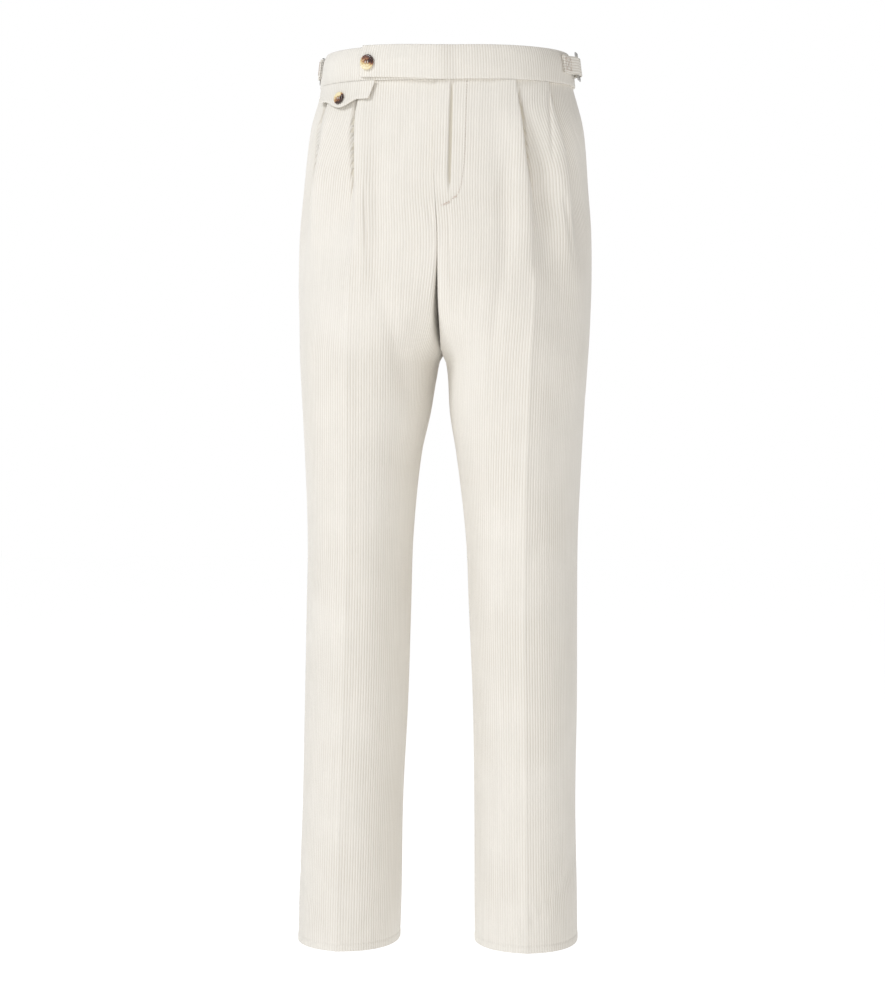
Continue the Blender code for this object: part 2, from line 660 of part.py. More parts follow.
def ribbon(name, side, path, half_widths, material):
    """A strap on edge along a path of (distance behind the side seam, lift), at mid-thickness."""
    path = np.array(path, dtype=float)
    grids = [np.array([[beside_band(behind, side, half * share, lift)
                        for (behind, lift), half in zip(line, half_widths)]
                       for share in (-1.0, 0.0, 1.0)])
             for line in (offset_path(path, STRAP_WALL / 2), offset_path(path, -STRAP_WALL / 2))]
    return wall_object(name, grids[0], grids[1], material)


def half_turn(bar, plate, way):
    """Points of cloth going from under a bar to over it, on its rear side (way 1) or front side (-1)."""
    angles = [math.radians(-90.0 + 30.0 * k) for k in range(7)]
    return [(bar + way * HOOK_ALONG * math.cos(a), plate + HOOK_OUT * math.sin(a)) for a in angles]


def anchor_path(bar, plate, base, length):
    """Two layers sewn to the band, looped round the buckle's front bar."""
    lower = base + STRAP_WALL / 2
    upper = lower + STRAP_WALL + SEAM_GAP
    start = bar - length
    return ([(start, lower), (start + 12, lower), (bar - 12, lower),
             (bar - 5, (lower + plate - HOOK_OUT) / 2)]
            + half_turn(bar, plate, 1)
            + [(bar - 2.6, plate + HOOK_OUT), (bar - 8, (upper + plate + HOOK_OUT) / 2), (bar - 14, upper),
               (start + 12, upper), (start, upper)])


def strap_path(bars, plate, base):
    """From the back, under the rear bar, round the middle one, and back over the outside."""
    lower = base + STRAP_WALL / 2
    upper = lower + STRAP_WALL + SEAM_GAP
    end = bars[1] + STRAP_LENGTH
    flat = [(end + (bars[2] + 12 - end) * share, lower) for share in (0.0, 0.2, 0.4, 0.6, 0.8, 1.0)]
    return (flat + [(bars[2] + 3, lower + 0.4 * (plate - HOOK_OUT - lower))] + half_turn(bars[1], plate, -1)
            + [(bars[2] + 2, plate + HOOK_OUT), (bars[2] + 9, (upper + plate + HOOK_OUT) / 2),
               (bars[2] + 17, upper + 0.2), (bars[2] + STRAP_RETURN - 16, upper),
               (bars[2] + STRAP_RETURN - STRAP_POINT, upper), (bars[2] + STRAP_RETURN - 4, upper),
               (bars[2] + STRAP_RETURN, upper)])


def slide_buckle(name, side, bars, plate, material):
    """A stamped plate with two slots, bent to the waist."""
    columns = [bar + way * BUCKLE_BAR / 2 for bar in bars for way in (-1, 1)]
    half = BUCKLE_HEIGHT / 2
    rows = (-half, -half + BUCKLE_BAR, half - BUCKLE_BAR, half)
    skins = [np.array([[beside_band(column, side, row, plate + out) for column in columns]
                       for row in rows])
             for out in (BUCKLE_PLATE / 2, -BUCKLE_PLATE / 2)]
    obj = wall_object(name, skins[0], skins[1], material, holes=((1, 1), (1, 3)))
    bevel = obj.modifiers.new("worn edges", "BEVEL")
    bevel.width = 0.4 * MM
    bevel.segments = 1
    return obj


def side_adjuster(side, middle, anchor_length, stand_off):
    """A short strap sewn to the band, a slide buckle, and a strap from the back that runs through it."""
    name = side_name(side)
    base = BAND_FACE + STRAP_CLEAR
    plate = base + STRAP_WALL + SEAM_GAP + stand_off + BUCKLE_PLATE / 2
    spread = (BUCKLE_WIDTH - BUCKLE_BAR) / 2
    bars = (middle - spread, middle, middle + spread)
    anchor = anchor_path(bars[0], plate, base, anchor_length)
    strap = strap_path(bars, plate, base)
    full = [STRAP_WIDTH / 2] * len(strap)
    full[-2:] = [STRAP_WIDTH / 2 - 2.5, STRAP_WIDTH / 2 - 6.0]
    ribbon("adjuster_anchor_" + name, side, anchor, [STRAP_WIDTH / 2] * len(anchor),
           finish("ivory corduroy, anchor " + name, IVORY, 0.9))
    ribbon("adjuster_strap_" + name, side, strap, full, finish("ivory corduroy, strap " + name, IVORY, 0.9))
    slide_buckle("adjuster_buckle_" + name, side, bars, plate,
                 finish("brushed nickel, " + name, (0.62, 0.61, 0.59), 0.32, 1.0))


# ---------------------------------------------------------------- materials
IVORY = (0.83, 0.80, 0.72)
TORTOISE = (0.30, 0.13, 0.04)


def finish(name, colour, roughness, metallic=0.0):
    """A plain finish of one colour."""
    material = bpy.data.materials.new(name)
    material.use_nodes = True
    shader = material.node_tree.nodes["Principled BSDF"]
    shader.inputs["Base Color"].default_value = (*colour, 1.0)
    shader.inputs["Roughness"].default_value = roughness
    shader.inputs["Metallic"].default_value = metallic
    return material


# ---------------------------------------------------------------- the garment
for old in list(bpy.data.objects):
    bpy.data.objects.remove(old)
PARTS = bpy.data.collections.new(NAME)
bpy.context.scene.collection.children.link(PARTS)

for wearer_side in (-1, 1):
    for is_front in (True, False):
        panel = ("front_" if is_front else "back_") + side_name(wearer_side)
        panel_object(panel, wearer_side, is_front, finish("ivory corduroy, " + panel, IVORY, 0.9))
waistband_right(finish("ivory corduroy, right band", IVORY, 0.9))
waistband_left(finish("ivory corduroy, left band", IVORY, 0.9))
coin_pocket_flap(finish("ivory corduroy, flap", IVORY, 0.9))
for button, diameter, height, position, face in BUTTONS:
    turned_button(button, diameter, height, position, face, finish("tortoiseshell, " + button, TORTOISE, 0.2))
for adjuster in ADJUSTERS:
    side_adjuster(*adjuster)
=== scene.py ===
# %% [markdown]
# # Corduroy trousers, filled out as if worn
# Ivory eight-wale corduroy, two reverse pleats in each front, a waistband whose end buttons to one side,
# a coin pocket flap and a slide-buckle strap at each side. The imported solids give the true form. This
# lesson dresses them: every cloth piece is made again from the same sections, now with its ribs, seams
# and stitches. The ribs are real geometry, because corduroy is known by them from any side.

# %% Load the frame
import collections
import functools
import math

import bmesh
import bpy
import numpy as np
from mathutils import Matrix, Vector


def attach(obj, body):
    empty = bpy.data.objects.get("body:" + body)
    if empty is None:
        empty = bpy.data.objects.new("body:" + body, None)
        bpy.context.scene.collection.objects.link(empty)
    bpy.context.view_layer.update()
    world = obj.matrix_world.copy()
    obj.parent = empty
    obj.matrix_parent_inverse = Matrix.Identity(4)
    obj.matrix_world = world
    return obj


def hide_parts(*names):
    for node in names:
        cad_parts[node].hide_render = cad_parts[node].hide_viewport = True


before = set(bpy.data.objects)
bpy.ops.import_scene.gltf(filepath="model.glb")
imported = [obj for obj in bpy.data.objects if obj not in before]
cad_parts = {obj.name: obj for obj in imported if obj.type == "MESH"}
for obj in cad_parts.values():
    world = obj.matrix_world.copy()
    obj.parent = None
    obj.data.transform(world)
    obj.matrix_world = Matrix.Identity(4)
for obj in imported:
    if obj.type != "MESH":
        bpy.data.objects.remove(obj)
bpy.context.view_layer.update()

# %% [markdown]
# ## The pattern's measures
# A trouser cutter works from the waist, the rise, the fork and the hem. The same numbers drive the solids,
# so the cloth can't drift away from them. All of them are millimetres; metres come only when a mesh is made.

# %% Measures and section tables
MM = 0.001
CLOTH = 1.5
SEAM_GAP = 0.3
HALF_GAP = SEAM_GAP / 2
BAND_HEIGHT = 40.0
BAND_WALL = 2.6
BAND_SWELL = 0.6                    # of its middle past its edges
BAND_PROUD = 3.2                    # of its face past the section
BAND_FACE = BAND_PROUD + BAND_SWELL
BAND_TOP = BAND_HEIGHT / 2          # heights are measured from the band's middle
WAIST_SEAM = -BAND_HEIGHT / 2
PANEL_TOP = WAIST_SEAM - HALF_GAP
CROTCH = -252.0
FORK_TOP = -160.0                   # where the centre seams begin to turn in
FORK_ROUND = 6.0                    # corner by which they do
HEM = -1050.0
LEFT_LEG_LIFT = 4.5                 # of the left hem over the right one
SIDE_RISE = {-1: 4.0, 1: 2.0}       # of the waist at each side over its front
BACK_RISE = 14.0                    # of the waist at the back
WAIST_DEPTH = 105.0
WAIST_WIDTH = 150.0
SIDE_FULLNESS = 2.2

SECTION_COLUMNS = ("height", "outer", "inner_right", "inner_left", "front", "back", "fullness", "lean")
SECTIONS = (
    (20, 141.5, -141.5, -141.5, 106.5, 101.5, 2.1, 0.0),
    (13, 145.2, -145.2, -145.2, 108, 103, 2.1, 0.0),
    (5, 147.2, -147.2, -147.2, 109, 104, 2.1, 0.0),
    (-20, 150.5, -150.5, -150.5, 110, 106, 2.1, 0.0),
    (-40, 156.5, -156.5, -156.5, 113, 111, 2.1, -0.4),
    (-64, 163.2, -163.2, -163.2, 116, 117, 2.1, -0.8),
    (-90, 167.0, -167.0, -167.0, 118, 123, 2.1, -1.2),
    (-140, 171.6, -171.0, -171.0, 121, 133, 2.15, -2.2),
    (-190, 176.0, -160.0, -160.0, 121, 139, 2.2, -2.8),
    (-252, 176.6, -100.0, -100.0, 117, 130, 2.4, -3.6),
    (-300, 174.8, -30.0, -32.0, 111, 115, 2.45, -4.2),
    (-335, 173.6, 3.6, 1.1, 108, 107, 2.4, -4.8),
    (-356, 172.6, 9.4, 6.8, 106, 103, 2.4, -4.9),
    (-405, 170.2, 17.6, 9.6, 101, 95, 2.35, -4.9),
    (-454, 167.6, 28.4, 17.4, 97, 89, 2.3, -5.0),
    (-552, 164.0, 37.4, 29.4, 90, 80, 2.25, -5.8),
    (-637, 164.6, 39.0, 34.0, 85, 77, 2.2, -6.9),
    (-759, 166.2, 41.5, 40.5, 78, 82, 2.15, -8.5),
    (-881, 167.0, 45.5, 44.5, 73, 82, 2.1, -10.8),
    (-991, 170.4, 46.0, 46.0, 71, 77, 2.1, -12.0),
    (-1050, 171.6, 47.5, 46.8, 70, 73, 2.1, -12.4),
)
print(len(SECTIONS), "level sections from", SECTIONS[0][0], "to", SECTIONS[-1][0], "mm")

# %% [markdown]
# ## Curves down the table
# A cutter draws a smooth line through the measured points of a side seam. The same is done here down each
# column of the table, so any height has its section. Straight lines between the rows would show as edges
# across the leg.

# %% Curves through the tables
def hermite(t, start, leave, end, arrive):
    """A smooth way from start to end, at t from 0 to 1, with the given slopes at both."""
    return ((2 * t ** 3 - 3 * t ** 2 + 1) * start + (t ** 3 - 2 * t ** 2 + t) * leave
            + (3 * t ** 2 - 2 * t ** 3) * end + (t ** 3 - t ** 2) * arrive)


def smooth_column(table, columns, name, height):
    at = columns.index(name)
    heights = [row[0] for row in table]
    values = [row[at] for row in table]
    if height >= heights[0]:
        return float(values[0])
    if height <= heights[-1]:
        return float(values[-1])
    i = next(k for k in range(len(heights) - 1) if height >= heights[k + 1])

    def slope(k):
        low, high = max(k - 1, 0), min(k + 1, len(heights) - 1)
        return (values[high] - values[low]) / (heights[high] - heights[low])

    span = heights[i + 1] - heights[i]
    t = (height - heights[i]) / span
    return float(hermite(t, values[i], span * slope(i), values[i + 1], span * slope(i + 1)))


def section(name, height):
    return smooth_column(SECTIONS, SECTION_COLUMNS, name, height)


def ease(t):
    t = np.clip(t, 0.0, 1.0)
    return t * t * (3 - 2 * t)


def run_along(x, y):
    """Length along a line at each of its points."""
    return np.concatenate([[0.0], np.cumsum(np.hypot(np.diff(x), np.diff(y)))])


def side_name(side):
    return "left" if side > 0 else "right"


print("at the crotch the side lies", round(section("outer", CROTCH), 1), "mm from the centre")

# %% [markdown]
# ## Level sections
# Cut a worn trouser level and each side is a rounded loop; above the fork the two loops are one. A loop is
# squarer than an ellipse, so its corners are set by a fullness. At the fork the cloth turns in between the
# legs round a small corner. Working with distances along the loop, and not with angles, is what later lets
# the ribs keep their width.

# %% Half a section
def turn_in(x, y, end, largest):
    """Carries a section on along the centre plane, by a rounded corner, to where the fork has reached."""
    round_off = min(largest, 0.8 * (y[-1] - end))
    length = run_along(x, y)
    begin = length[-1] - round_off
    keep = length < begin
    start = np.array([np.interp(begin, length, x), np.interp(begin, length, y)])
    corner = np.array([x[-1], y[-1]])
    stop = np.array([x[-1], y[-1] - round_off])
    t = np.linspace(0.0, 1.0, 13)[:, None]
    bend = (1 - t) ** 2 * start + 2 * t * (1 - t) * corner + t ** 2 * stop
    flat = np.linspace(stop[1], end, 40)[1:]
    return (np.concatenate([x[keep], bend[:, 0], np.full(len(flat), x[-1])]),
            np.concatenate([y[keep], bend[:, 1], flat]))


@functools.lru_cache(maxsize=None)
def half_section(side, height, front, reach):
    """From the side seam to the centre or inseam: distances out, depths, outward directions, lengths."""
    outer, inner = section("outer", height), section("inner_" + side_name(side), height)
    fullness, depth = section("fullness", height), section("front" if front else "back", height)
    half = (outer - inner) / 2
    middle = (outer + inner) / 2
    share = max((-reach - middle) / half, -1.0)
    squareness = SIDE_FULLNESS if share > 0 else fullness
    end_angle = math.acos(math.copysign(abs(share) ** (squareness / 2), share))
    angle = np.linspace(0.0, end_angle, 721)
    power = np.where(np.cos(angle) >= 0, 2 / SIDE_FULLNESS, 2 / fullness)
    x = middle + half * np.sign(np.cos(angle)) * np.abs(np.cos(angle)) ** power
    y = depth * np.abs(np.sin(angle)) ** power
    if share > -1.0 and height < FORK_TOP:
        down = min(max((FORK_TOP - height) / (FORK_TOP - CROTCH), 0.0), 1.0)
        largest = FORK_ROUND * (0.3 + 0.7 * float(ease((FORK_TOP - 40.0 - height) / 60.0)))
        x, y = turn_in(x, y, y[-1] * math.sqrt(1.0 - down * down), largest)
    y = -y if front else y
    length = run_along(x, y)
    along = np.stack([np.gradient(x, length), np.gradient(y, length)], axis=1)
    along /= np.linalg.norm(along, axis=1)[:, None]
    turn = 1.0 if front else -1.0
    return x, y, np.stack([-turn * along[:, 1], turn * along[:, 0]], axis=1), length


def point_on_half(side, height, front, from_seam, lift, reach=-HALF_GAP):
    """Points at distances round from the side seam, moved outward by lift."""
    x, y, outward, length = half_section(side, height, front, reach)
    px, py = (np.interp(from_seam, length, line) + lift * np.interp(from_seam, length, outward[:, axis])
              for axis, line in enumerate((x, y)))
    lean = section("lean", height)
    backward = np.clip(0.5 + py / (2 * WAIST_DEPTH), 0.0, 1.2)
    rise = BACK_RISE * backward ** 2 * ease((height - CROTCH) / (WAIST_SEAM - CROTCH))
    rise = rise + SIDE_RISE[side] * np.clip(px / WAIST_WIDTH, 0.0, 1.0) * ease((height - CROTCH) / 200.0)
    if side > 0:
        rise = rise + LEFT_LEG_LIFT * ease((CROTCH - height) / (CROTCH - HEM))
    return np.stack([lean + side * px, py, height + rise], axis=-1)


def distance_at(side, height, front, from_centre, reach):
    """Length from the side seam to where the curve is this far from the centre line."""
    x, _, _, length = half_section(side, height, front, reach)
    return float(np.interp(-from_centre, -x, length))


def keep_to_side(points, side, height, least):
    """Holds points at least this far on their own side of the centre line."""
    lean = section("lean", height)
    points[..., 0] = lean + side * np.maximum(side * (points[..., 0] - lean), least)
    return points


print("half the girth at the waist seam, front and back:",
      [round(float(half_section(1, WAIST_SEAM, front, 0.0)[3][-1]), 1) for front in (True, False)], "mm")

# %% [markdown]
# ## Folds that wearing leaves
# Cloth of this weight holds broad soft ridges from the pleats, a sharp crease where the facing of the fly
# ends beneath it, and short drags near the hem and the knee. Each is one row: where it starts and ends,
# how wide it is and how far it rises or sinks. Placing them one by one keeps them uneven, as cloth is.

# %% Soft folds and short creases
# Panel, height of the top and bottom end, distance from the centre line at each, half width, rise.
FOLDS = (
    ("front_left", -10, -420, 128, 168, 13, 5.0),
    ("front_left", -40, -300, 83, 84, 10, -2.4),
    ("front_left", -190, -380, 87, 68, 8, -1.8),
    ("front_left", -520, -650, 140, 96, 15, -1.6),
    ("front_left", -330, -560, 150, 140, 16, -1.8),
    ("front_right", -40, -290, 86, 82, 8, 2.0),
    ("front_right", -60, -300, 70, 68, 10, -2.6),
    ("front_right", -40, -120, 8, 48, 9, -1.3),
    ("front_right", -30, -260, 128, 150, 9, 2.6),
    ("front_right", -140, -330, 128, 124, 13, -2.0),
    ("front_right", -215, -470, 78, 22, 11, -2.6),
    ("front_right", -530, -640, 138, 92, 14, -1.5),
    ("front_right", -380, -620, 128, 120, 16, -1.6),
    ("back_left", -60, -330, 70, 104, 16, -3.0),
    ("back_left", -230, -420, 60, 120, 14, -3.5),
    ("back_left", -262, -352, 38, 112, 13, -2.0),
    ("back_left", -560, -700, 130, 80, 16, -2.6),
    ("back_left", -600, -660, 150, 70, 9, -1.5),
    ("back_left", -900, -1000, 136, 96, 11, -1.6),
    ("back_right", -70, -340, 76, 108, 16, -3.0),
    ("back_right", -240, -400, 64, 118, 13, -3.0),
    ("back_right", -256, -340, 34, 104, 13, -2.0),
    ("back_right", -575, -690, 124, 78, 16, -2.4),
    ("back_right", -620, -672, 146, 74, 9, -1.4),
    ("back_right", -880, -990, 132, 100, 11, -1.5),
)
SHORT_CREASES = (
    ("front_left", -18, -149, 17.4, 17.6, 1.3, -3.6),
    ("front_left", -163, -262, 14.6, 15.6, 1.2, -0.9),
    ("front_left", -152, -246, 113.5, 115.0, 1.9, -1.8),
    ("front_left", -148, -232, 141, 157, 2.4, -2.0),
    ("front_right", -138, -222, 80, 78.5, 2.2, -1.7),
    ("front_left", -36, -150, 12.0, 11.8, 1.6, 0.5),
    ("front_left", -30, -118, 124.5, 131.5, 1.5, -1.8),
    ("front_left", -50, -150, 108, 110, 3.5, -0.9),
    ("front_left", -556, -584, 112, 148, 7, -1.2),
    ("front_left", -958, -1046, 168, 92, 5, -2.6),
    ("front_left", -946, -1032, 160, 84, 6, 1.3),
    ("front_left", -925, -1005, 170, 150, 4, -1.4),
    ("front_right", -162, -190, 9, 4, 4, -1.3),
    ("front_right", -590, -622, 150, 110, 8, -1.0),
    ("front_right", -960, -1030, 168, 118, 7, -1.6),
    ("front_right", -975, -1040, 60, 92, 6, -1.3),
)


def soft_folds(panel, height, x):
    """Height of all folds of a panel at distances x from the centre line."""
    total = np.zeros_like(x)
    for folds, ends in ((FOLDS, 1.5), (SHORT_CREASES, 0.6)):
        for name, top, bottom, x_top, x_bottom, half_width, rise in folds:
            if name == panel and bottom < height < top:
                t = (top - height) / (top - bottom)
                run = math.sin(math.pi / 2 * t) if folds is FOLDS else t
                centre = x_top + (x_bottom - x_top) * run
                total += rise * math.sin(math.pi * t) ** ends * np.exp(-((x - centre) / half_width) ** 2)
    return total


print(len(FOLDS), "soft folds and", len(SHORT_CREASES), "short creases")

# %% [markdown]
# ## Pleats
# A reverse pleat is a fold of cloth laid towards the side seam and caught in the waist seam. Pressed at the
# top, it opens as it goes down. Following the cloth itself, by its length, through the crest, the reversed
# layer and the hollow keeps the ribs the right distance apart, where a sculpted bump would stretch them.

# %% Cloth through a pleat
# Reversed layer, the heights down to which it is shut and where it has opened out, and the share of the
# fold's height that stands out from the section.
PLEATS = (
    (14.0, -44.0, -250.0, 0.48),
    (10.0, -44.0, -235.0, 0.48),
)
CREST_RADIUS = 1.95
HOLLOW_RADIUS = 0.5
OPEN_TURN = 11.0                    # length of cloth in each turn, once the fold has opened out
PLEAT_RAMP = 34.0                   # beside a fold, over which the cloth comes down to the section
PLEAT_FLATTER = {-1: 0.4, 1: 0.0}   # share of a fold's height lost on each side as it opens
FLATTER_FROM = -50.0
FLATTER_OVER = 50.0


def pleat_turns(pleat, height):
    """Turning angle, and the cloth's length in the crest, the reversed layer and the hollow."""
    reversed_layer, shut, opened, _ = pleat
    t = min(max((shut - height) / (shut - opened), 0.0), 1.0)
    angle = max(math.pi * (1 - t), 0.001)
    crest, hollow = (float(math.pi * radius + (OPEN_TURN - math.pi * radius) * ease(1.6 * t))
                     for radius in (CREST_RADIUS, HOLLOW_RADIUS))
    return angle, crest, reversed_layer * (1 - float(ease(2.2 * t))), hollow


def pleat_path(turns, v):
    """Way along and outward of the cloth at a length v into the fold."""
    angle, crest, middle, hollow = turns
    first = np.clip(v, 0, crest)
    second = np.clip(v - crest, 0, middle)
    third = np.clip(v - crest - middle, 0, hollow)
    last = angle * (1 - third / hollow)
    along = (crest / angle * np.sin(angle * first / crest) + math.cos(angle) * second
             + hollow / angle * (math.sin(angle) - np.sin(last)))
    outward = -(crest / angle * (1 - np.cos(angle * first / crest)) + math.sin(angle) * second
                + hollow / angle * (np.cos(last) - math.cos(angle)))
    return along, outward


def pleat_share(side, height):
    """Share of a fold's height that is left at a height: the wearer's right side lies flatter."""
    return 1.0 - PLEAT_FLATTER[side] * float(ease((FLATTER_FROM - height) / FLATTER_OVER))


print("a fold takes", [round(sum(pleat_turns(pleat, PANEL_TOP)[1:]), 1) for pleat in PLEATS],
      "mm of cloth at the waist")

# %% [markdown]
# ## Laying out a front
# A front starts at the fly, runs flat to its first pleat, through it, flat again to the second, and on to
# the side seam. The first pleat runs into the pressed crease, so one table says where both lie. Each row
# of the front is laid out once, and kept.

# %% Where the pleats and the crease lie
# Distances from the centre line, of the pressed crease and of the second pleat.
SIDE_COLUMNS = ("height", "right", "left")
CREASES = (
    (-20, 92, 89.5), (-60, 94.8, 96), (-110, 95.2, 103), (-150, 94.5, 110), (-200, 96, 114), (-270, 99, 115),
    (-393, 102, 110), (-490, 103.5, 107), (-640, 105, 106.5), (-820, 109, 110.5), (-1050, 114, 115),
)
SECOND_PLEAT = (
    (-20, 130, 125), (-60, 135.8, 134), (-90, 139.4, 140.8), (-120, 144.8, 146.6), (-150, 150.4, 150.5),
    (-230, 158, 157),
)
FLY_BOTTOM = -134.0
FLY_UNDERLAP = 12.0                 # of the right front under the left one
FLY_OVERLAP = 1.2                   # of the left front past the centre line


def edge_reach(side, height):
    """How far a front's centre edge goes past the centre line: the left one laps over the right."""
    if side > 0:
        return -HALF_GAP + FLY_OVERLAP * float(ease((height - FLY_BOTTOM) / 12.0))
    return -HALF_GAP + FLY_UNDERLAP * float(ease((height - FLY_BOTTOM - 4.0) / 16.0))


# A row of a front: how far its edge goes past the centre line, the length round the section, the stretches
# of cloth up to and through each pleat, the last stretch, the place of each crest, the length of cloth up to
# the crease, and that of the whole row.
FrontRow = collections.namedtuple("FrontRow", "reach total stretches last crests crease_cloth whole")


@functools.lru_cache(maxsize=None)
def front_layout(side, height):
    """Where a front's stretches of cloth begin: lengths of cloth, places round the section, lifts."""
    reach = edge_reach(side, height)
    total = half_section(side, height, True, reach)[3][-1]
    crests = []
    for table in (CREASES, SECOND_PLEAT):
        x = smooth_column(table, SIDE_COLUMNS, side_name(side), height)
        crests.append(total - distance_at(side, height, True, x, reach))
    below = min(max((SECOND_PLEAT[-1][0] - height) / 120.0, 0.0), 1.0)
    crests[1] = crests[1] + (0.5 * (crests[0] + total) - crests[1]) * float(ease(below))
    cloth, edge, level = 0.0, (0.0 if height > CROTCH else HALF_GAP), 0.0
    stretches, crease_cloth, share = [], 0.0, pleat_share(side, height)
    for k, pleat in enumerate(PLEATS):
        turns = pleat_turns(pleat, height)
        angle, crest, middle, hollow = turns
        fold = crest + middle + hollow
        across, drop = pleat_path(turns, np.array([fold]))
        peak = -pleat[-1] * float(drop[0]) * share
        fold_start = crests[k] - crest / angle * math.sin(min(angle, math.pi / 2))
        stretches.append((cloth, edge, level, fold_start, peak, turns))
        cloth += fold_start - edge
        if k == 0:
            crease_cloth = cloth + crest * min(1.0, (math.pi / 2) / angle)
        cloth += fold
        edge = fold_start + float(across[0])
        level = peak + float(drop[0]) * share
    whole = cloth + total - HALF_GAP - edge
    return FrontRow(reach, total, tuple(stretches), (cloth, edge, level), tuple(crests), crease_cloth, whole)


def front_place(side, height, s):
    """Positions round the section and lifts of a front's cloth at lengths s from its centre edge."""
    row = front_layout(side, height)
    last_cloth, last_edge, last_level = row.last
    share = pleat_share(side, height)
    position = last_edge + (s - last_cloth)
    lift = last_level * (1 - ease((position - last_edge) / PLEAT_RAMP))
    for cloth, edge, level, fold_start, peak, turns in reversed(row.stretches):
        flat = fold_start - edge
        fold = sum(turns[1:])
        ramp = min(PLEAT_RAMP, flat)
        along, outward = pleat_path(turns, s - cloth - flat)
        in_fold = s < cloth + flat + fold
        position = np.where(in_fold, fold_start + along, position)
        lift = np.where(in_fold, peak + outward * share, lift)
        on_flat = s < cloth + flat
        here = edge + (s - cloth)
        position = np.where(on_flat, here, position)
        lift = np.where(on_flat, level * (1 - ease((here - edge) / ramp))
                        + peak * ease((here - fold_start + ramp) / ramp), lift)
    return position, lift


layout = front_layout(1, PANEL_TOP)
print("left front at the waist:", round(layout.total, 1), "mm round it, from", round(layout.whole, 1),
      "mm of cloth")

# %% [markdown]
# ## Seams and hem
# Where two pieces are sewn, the seam pulls both edges under. The hem is turned inside and caught, which
# leaves a faint line above the edge. These are small changes of height beside an edge, added to the
# cloth's own lift, so they cost no more points.

# %% Edges of the cloth
SEAM_DIP = 1.0
SEAM_DIP_WIDTH = 2.4
HEM_LINE = 9.0
HEM_FULLER = 0.35
HEM_CAUGHT = 0.5


def seam_dip(distance):
    """How far a sewn edge is pulled under, by the distance from it."""
    return -SEAM_DIP * (1 - ease(distance / SEAM_DIP_WIDTH))


def centre_dip(height):
    """Share of the dip kept at the centre seams, which turn in between the thighs below the fork's top."""
    return float(ease((height - FORK_TOP) / 20.0))


def inseam_dip(height):
    """Share of the dip kept at the inseam, which starts below the crotch."""
    return float(ease((CROTCH - height) / 16.0))


def hem_line(height):
    """The turned hem is a little fuller than the leg, with a faint hollow where it is caught."""
    past = height - HEM - HEM_LINE
    fuller = HEM_FULLER * (1 - float(ease((past + 1.5) / 2.0)))
    return fuller - HEM_CAUGHT * math.exp(-(past / 1.1) ** 2)


print("seams pull", SEAM_DIP, "mm under; the hem is caught", HEM_LINE, "mm up")

# %% [markdown]
# ## The face of a front
# All that shapes a front is one height above the plain section: folds, hem, the fly's extra layer, the
# pressed crease, the shadows beside the pleats and the seams. They could be modelled one by one on the
# mesh, but a sum of heights can be measured and changed at any place. The fly's edge is a fold, so it
# stays up where a seam would sink.

# %% Fly, crease and pleats on a front
FLY_RAISE = CLOTH + SEAM_GAP
FLY_FLAT = 14.0
FLY_STEP = 3.5                      # along the front, in which the fly's extra layer ends
FRONT_SEWN = 0.15                   # share of a seam's dip that is kept at the centre of the fronts
CREASE_HEIGHT = 3.0
CREASE_WIDTH = 10.0
# For each pleat, the depth and half width of the narrow shadow beyond its fold, and how far off it lies, as
# a share of the fold's own height.
MOUTHS = {-1: ((5.0, 1.4, 0.68), (5.5, 1.8, 1.78)), 1: ((4.5, 1.4, 0.33), (4.0, 1.4, 0.2))}
MOUTH_TOP = -28.0
MOUTH_END = -168.0
PRESS_FADE = 160.0                  # of leg, over which a pressed crease fades in
FRONT_PRESS = -90.0                 # where it starts on the fronts and on the backs
BACK_PRESS = -250.0


def pleat_mouths(side, height, position):
    """A pleat that has only just opened keeps a narrow shadow beyond its fold."""
    open_yet = float(ease((MOUTH_TOP - height) / 14.0) * ease((height - MOUTH_END) / 60.0))
    row = front_layout(side, height)
    lift = np.zeros_like(position)
    for crest, stretch, (depth, half_width, beyond) in zip(row.crests, row.stretches, MOUTHS[side]):
        turns = stretch[-1]
        drop = pleat_path(turns, np.array([sum(turns[1:])]))[1]
        relief = -float(drop[0]) * pleat_share(side, height)
        lift -= depth * open_yet * np.exp(-((position - crest - 0.6 - beyond * relief) / half_width) ** 2)
    return lift


def pressed(position, crease, height, top):
    """Height of a pressed crease, which fades in over a length of leg below its top."""
    sharp = float(ease((top - height) / PRESS_FADE))
    return CREASE_HEIGHT * sharp * np.exp(-np.abs(position - crease) / CREASE_WIDTH)


def front_shape(side, height, s):
    """Points on the face of a front's cloth, without its ribs."""
    row = front_layout(side, height)
    position, lift = front_place(side, height, s)
    section_x, _, _, length = half_section(side, height, True, row.reach)
    x = np.interp(row.total - position, length, section_x)
    lift = lift + soft_folds("front_" + side_name(side), height, x) + hem_line(height)
    if side > 0:
        fade = float(ease((height - FLY_BOTTOM + 18) / 16.0))
        lift = lift + FLY_RAISE * fade * (1 - ease((x - FLY_FLAT) / FLY_STEP))
    lift = lift + pressed(position, row.crests[0], height, FRONT_PRESS)
    lift = lift + pleat_mouths(side, height, position)
    below_fly = float(ease((FLY_BOTTOM + 4.0 - height) / 10.0))
    sewn = FRONT_SEWN * below_fly * centre_dip(height) + inseam_dip(height)
    lift = lift + seam_dip(row.whole - s) + sewn * seam_dip(s)
    points = point_on_half(side, height, True, row.total - position, lift, row.reach)
    return keep_to_side(points, side, height, -row.reach)


print("the fly stands", FLY_RAISE, "mm ahead of the cloth beside it, down to", FLY_BOTTOM, "mm")

# %% [markdown]
# ## Below the fly
# A sewn centre seam is never quite straight when the trousers are worn, and the thighs part in a cleft
# under it. Moving finished points sideways is enough for both, because the cloth only shifts there and
# isn't folded.

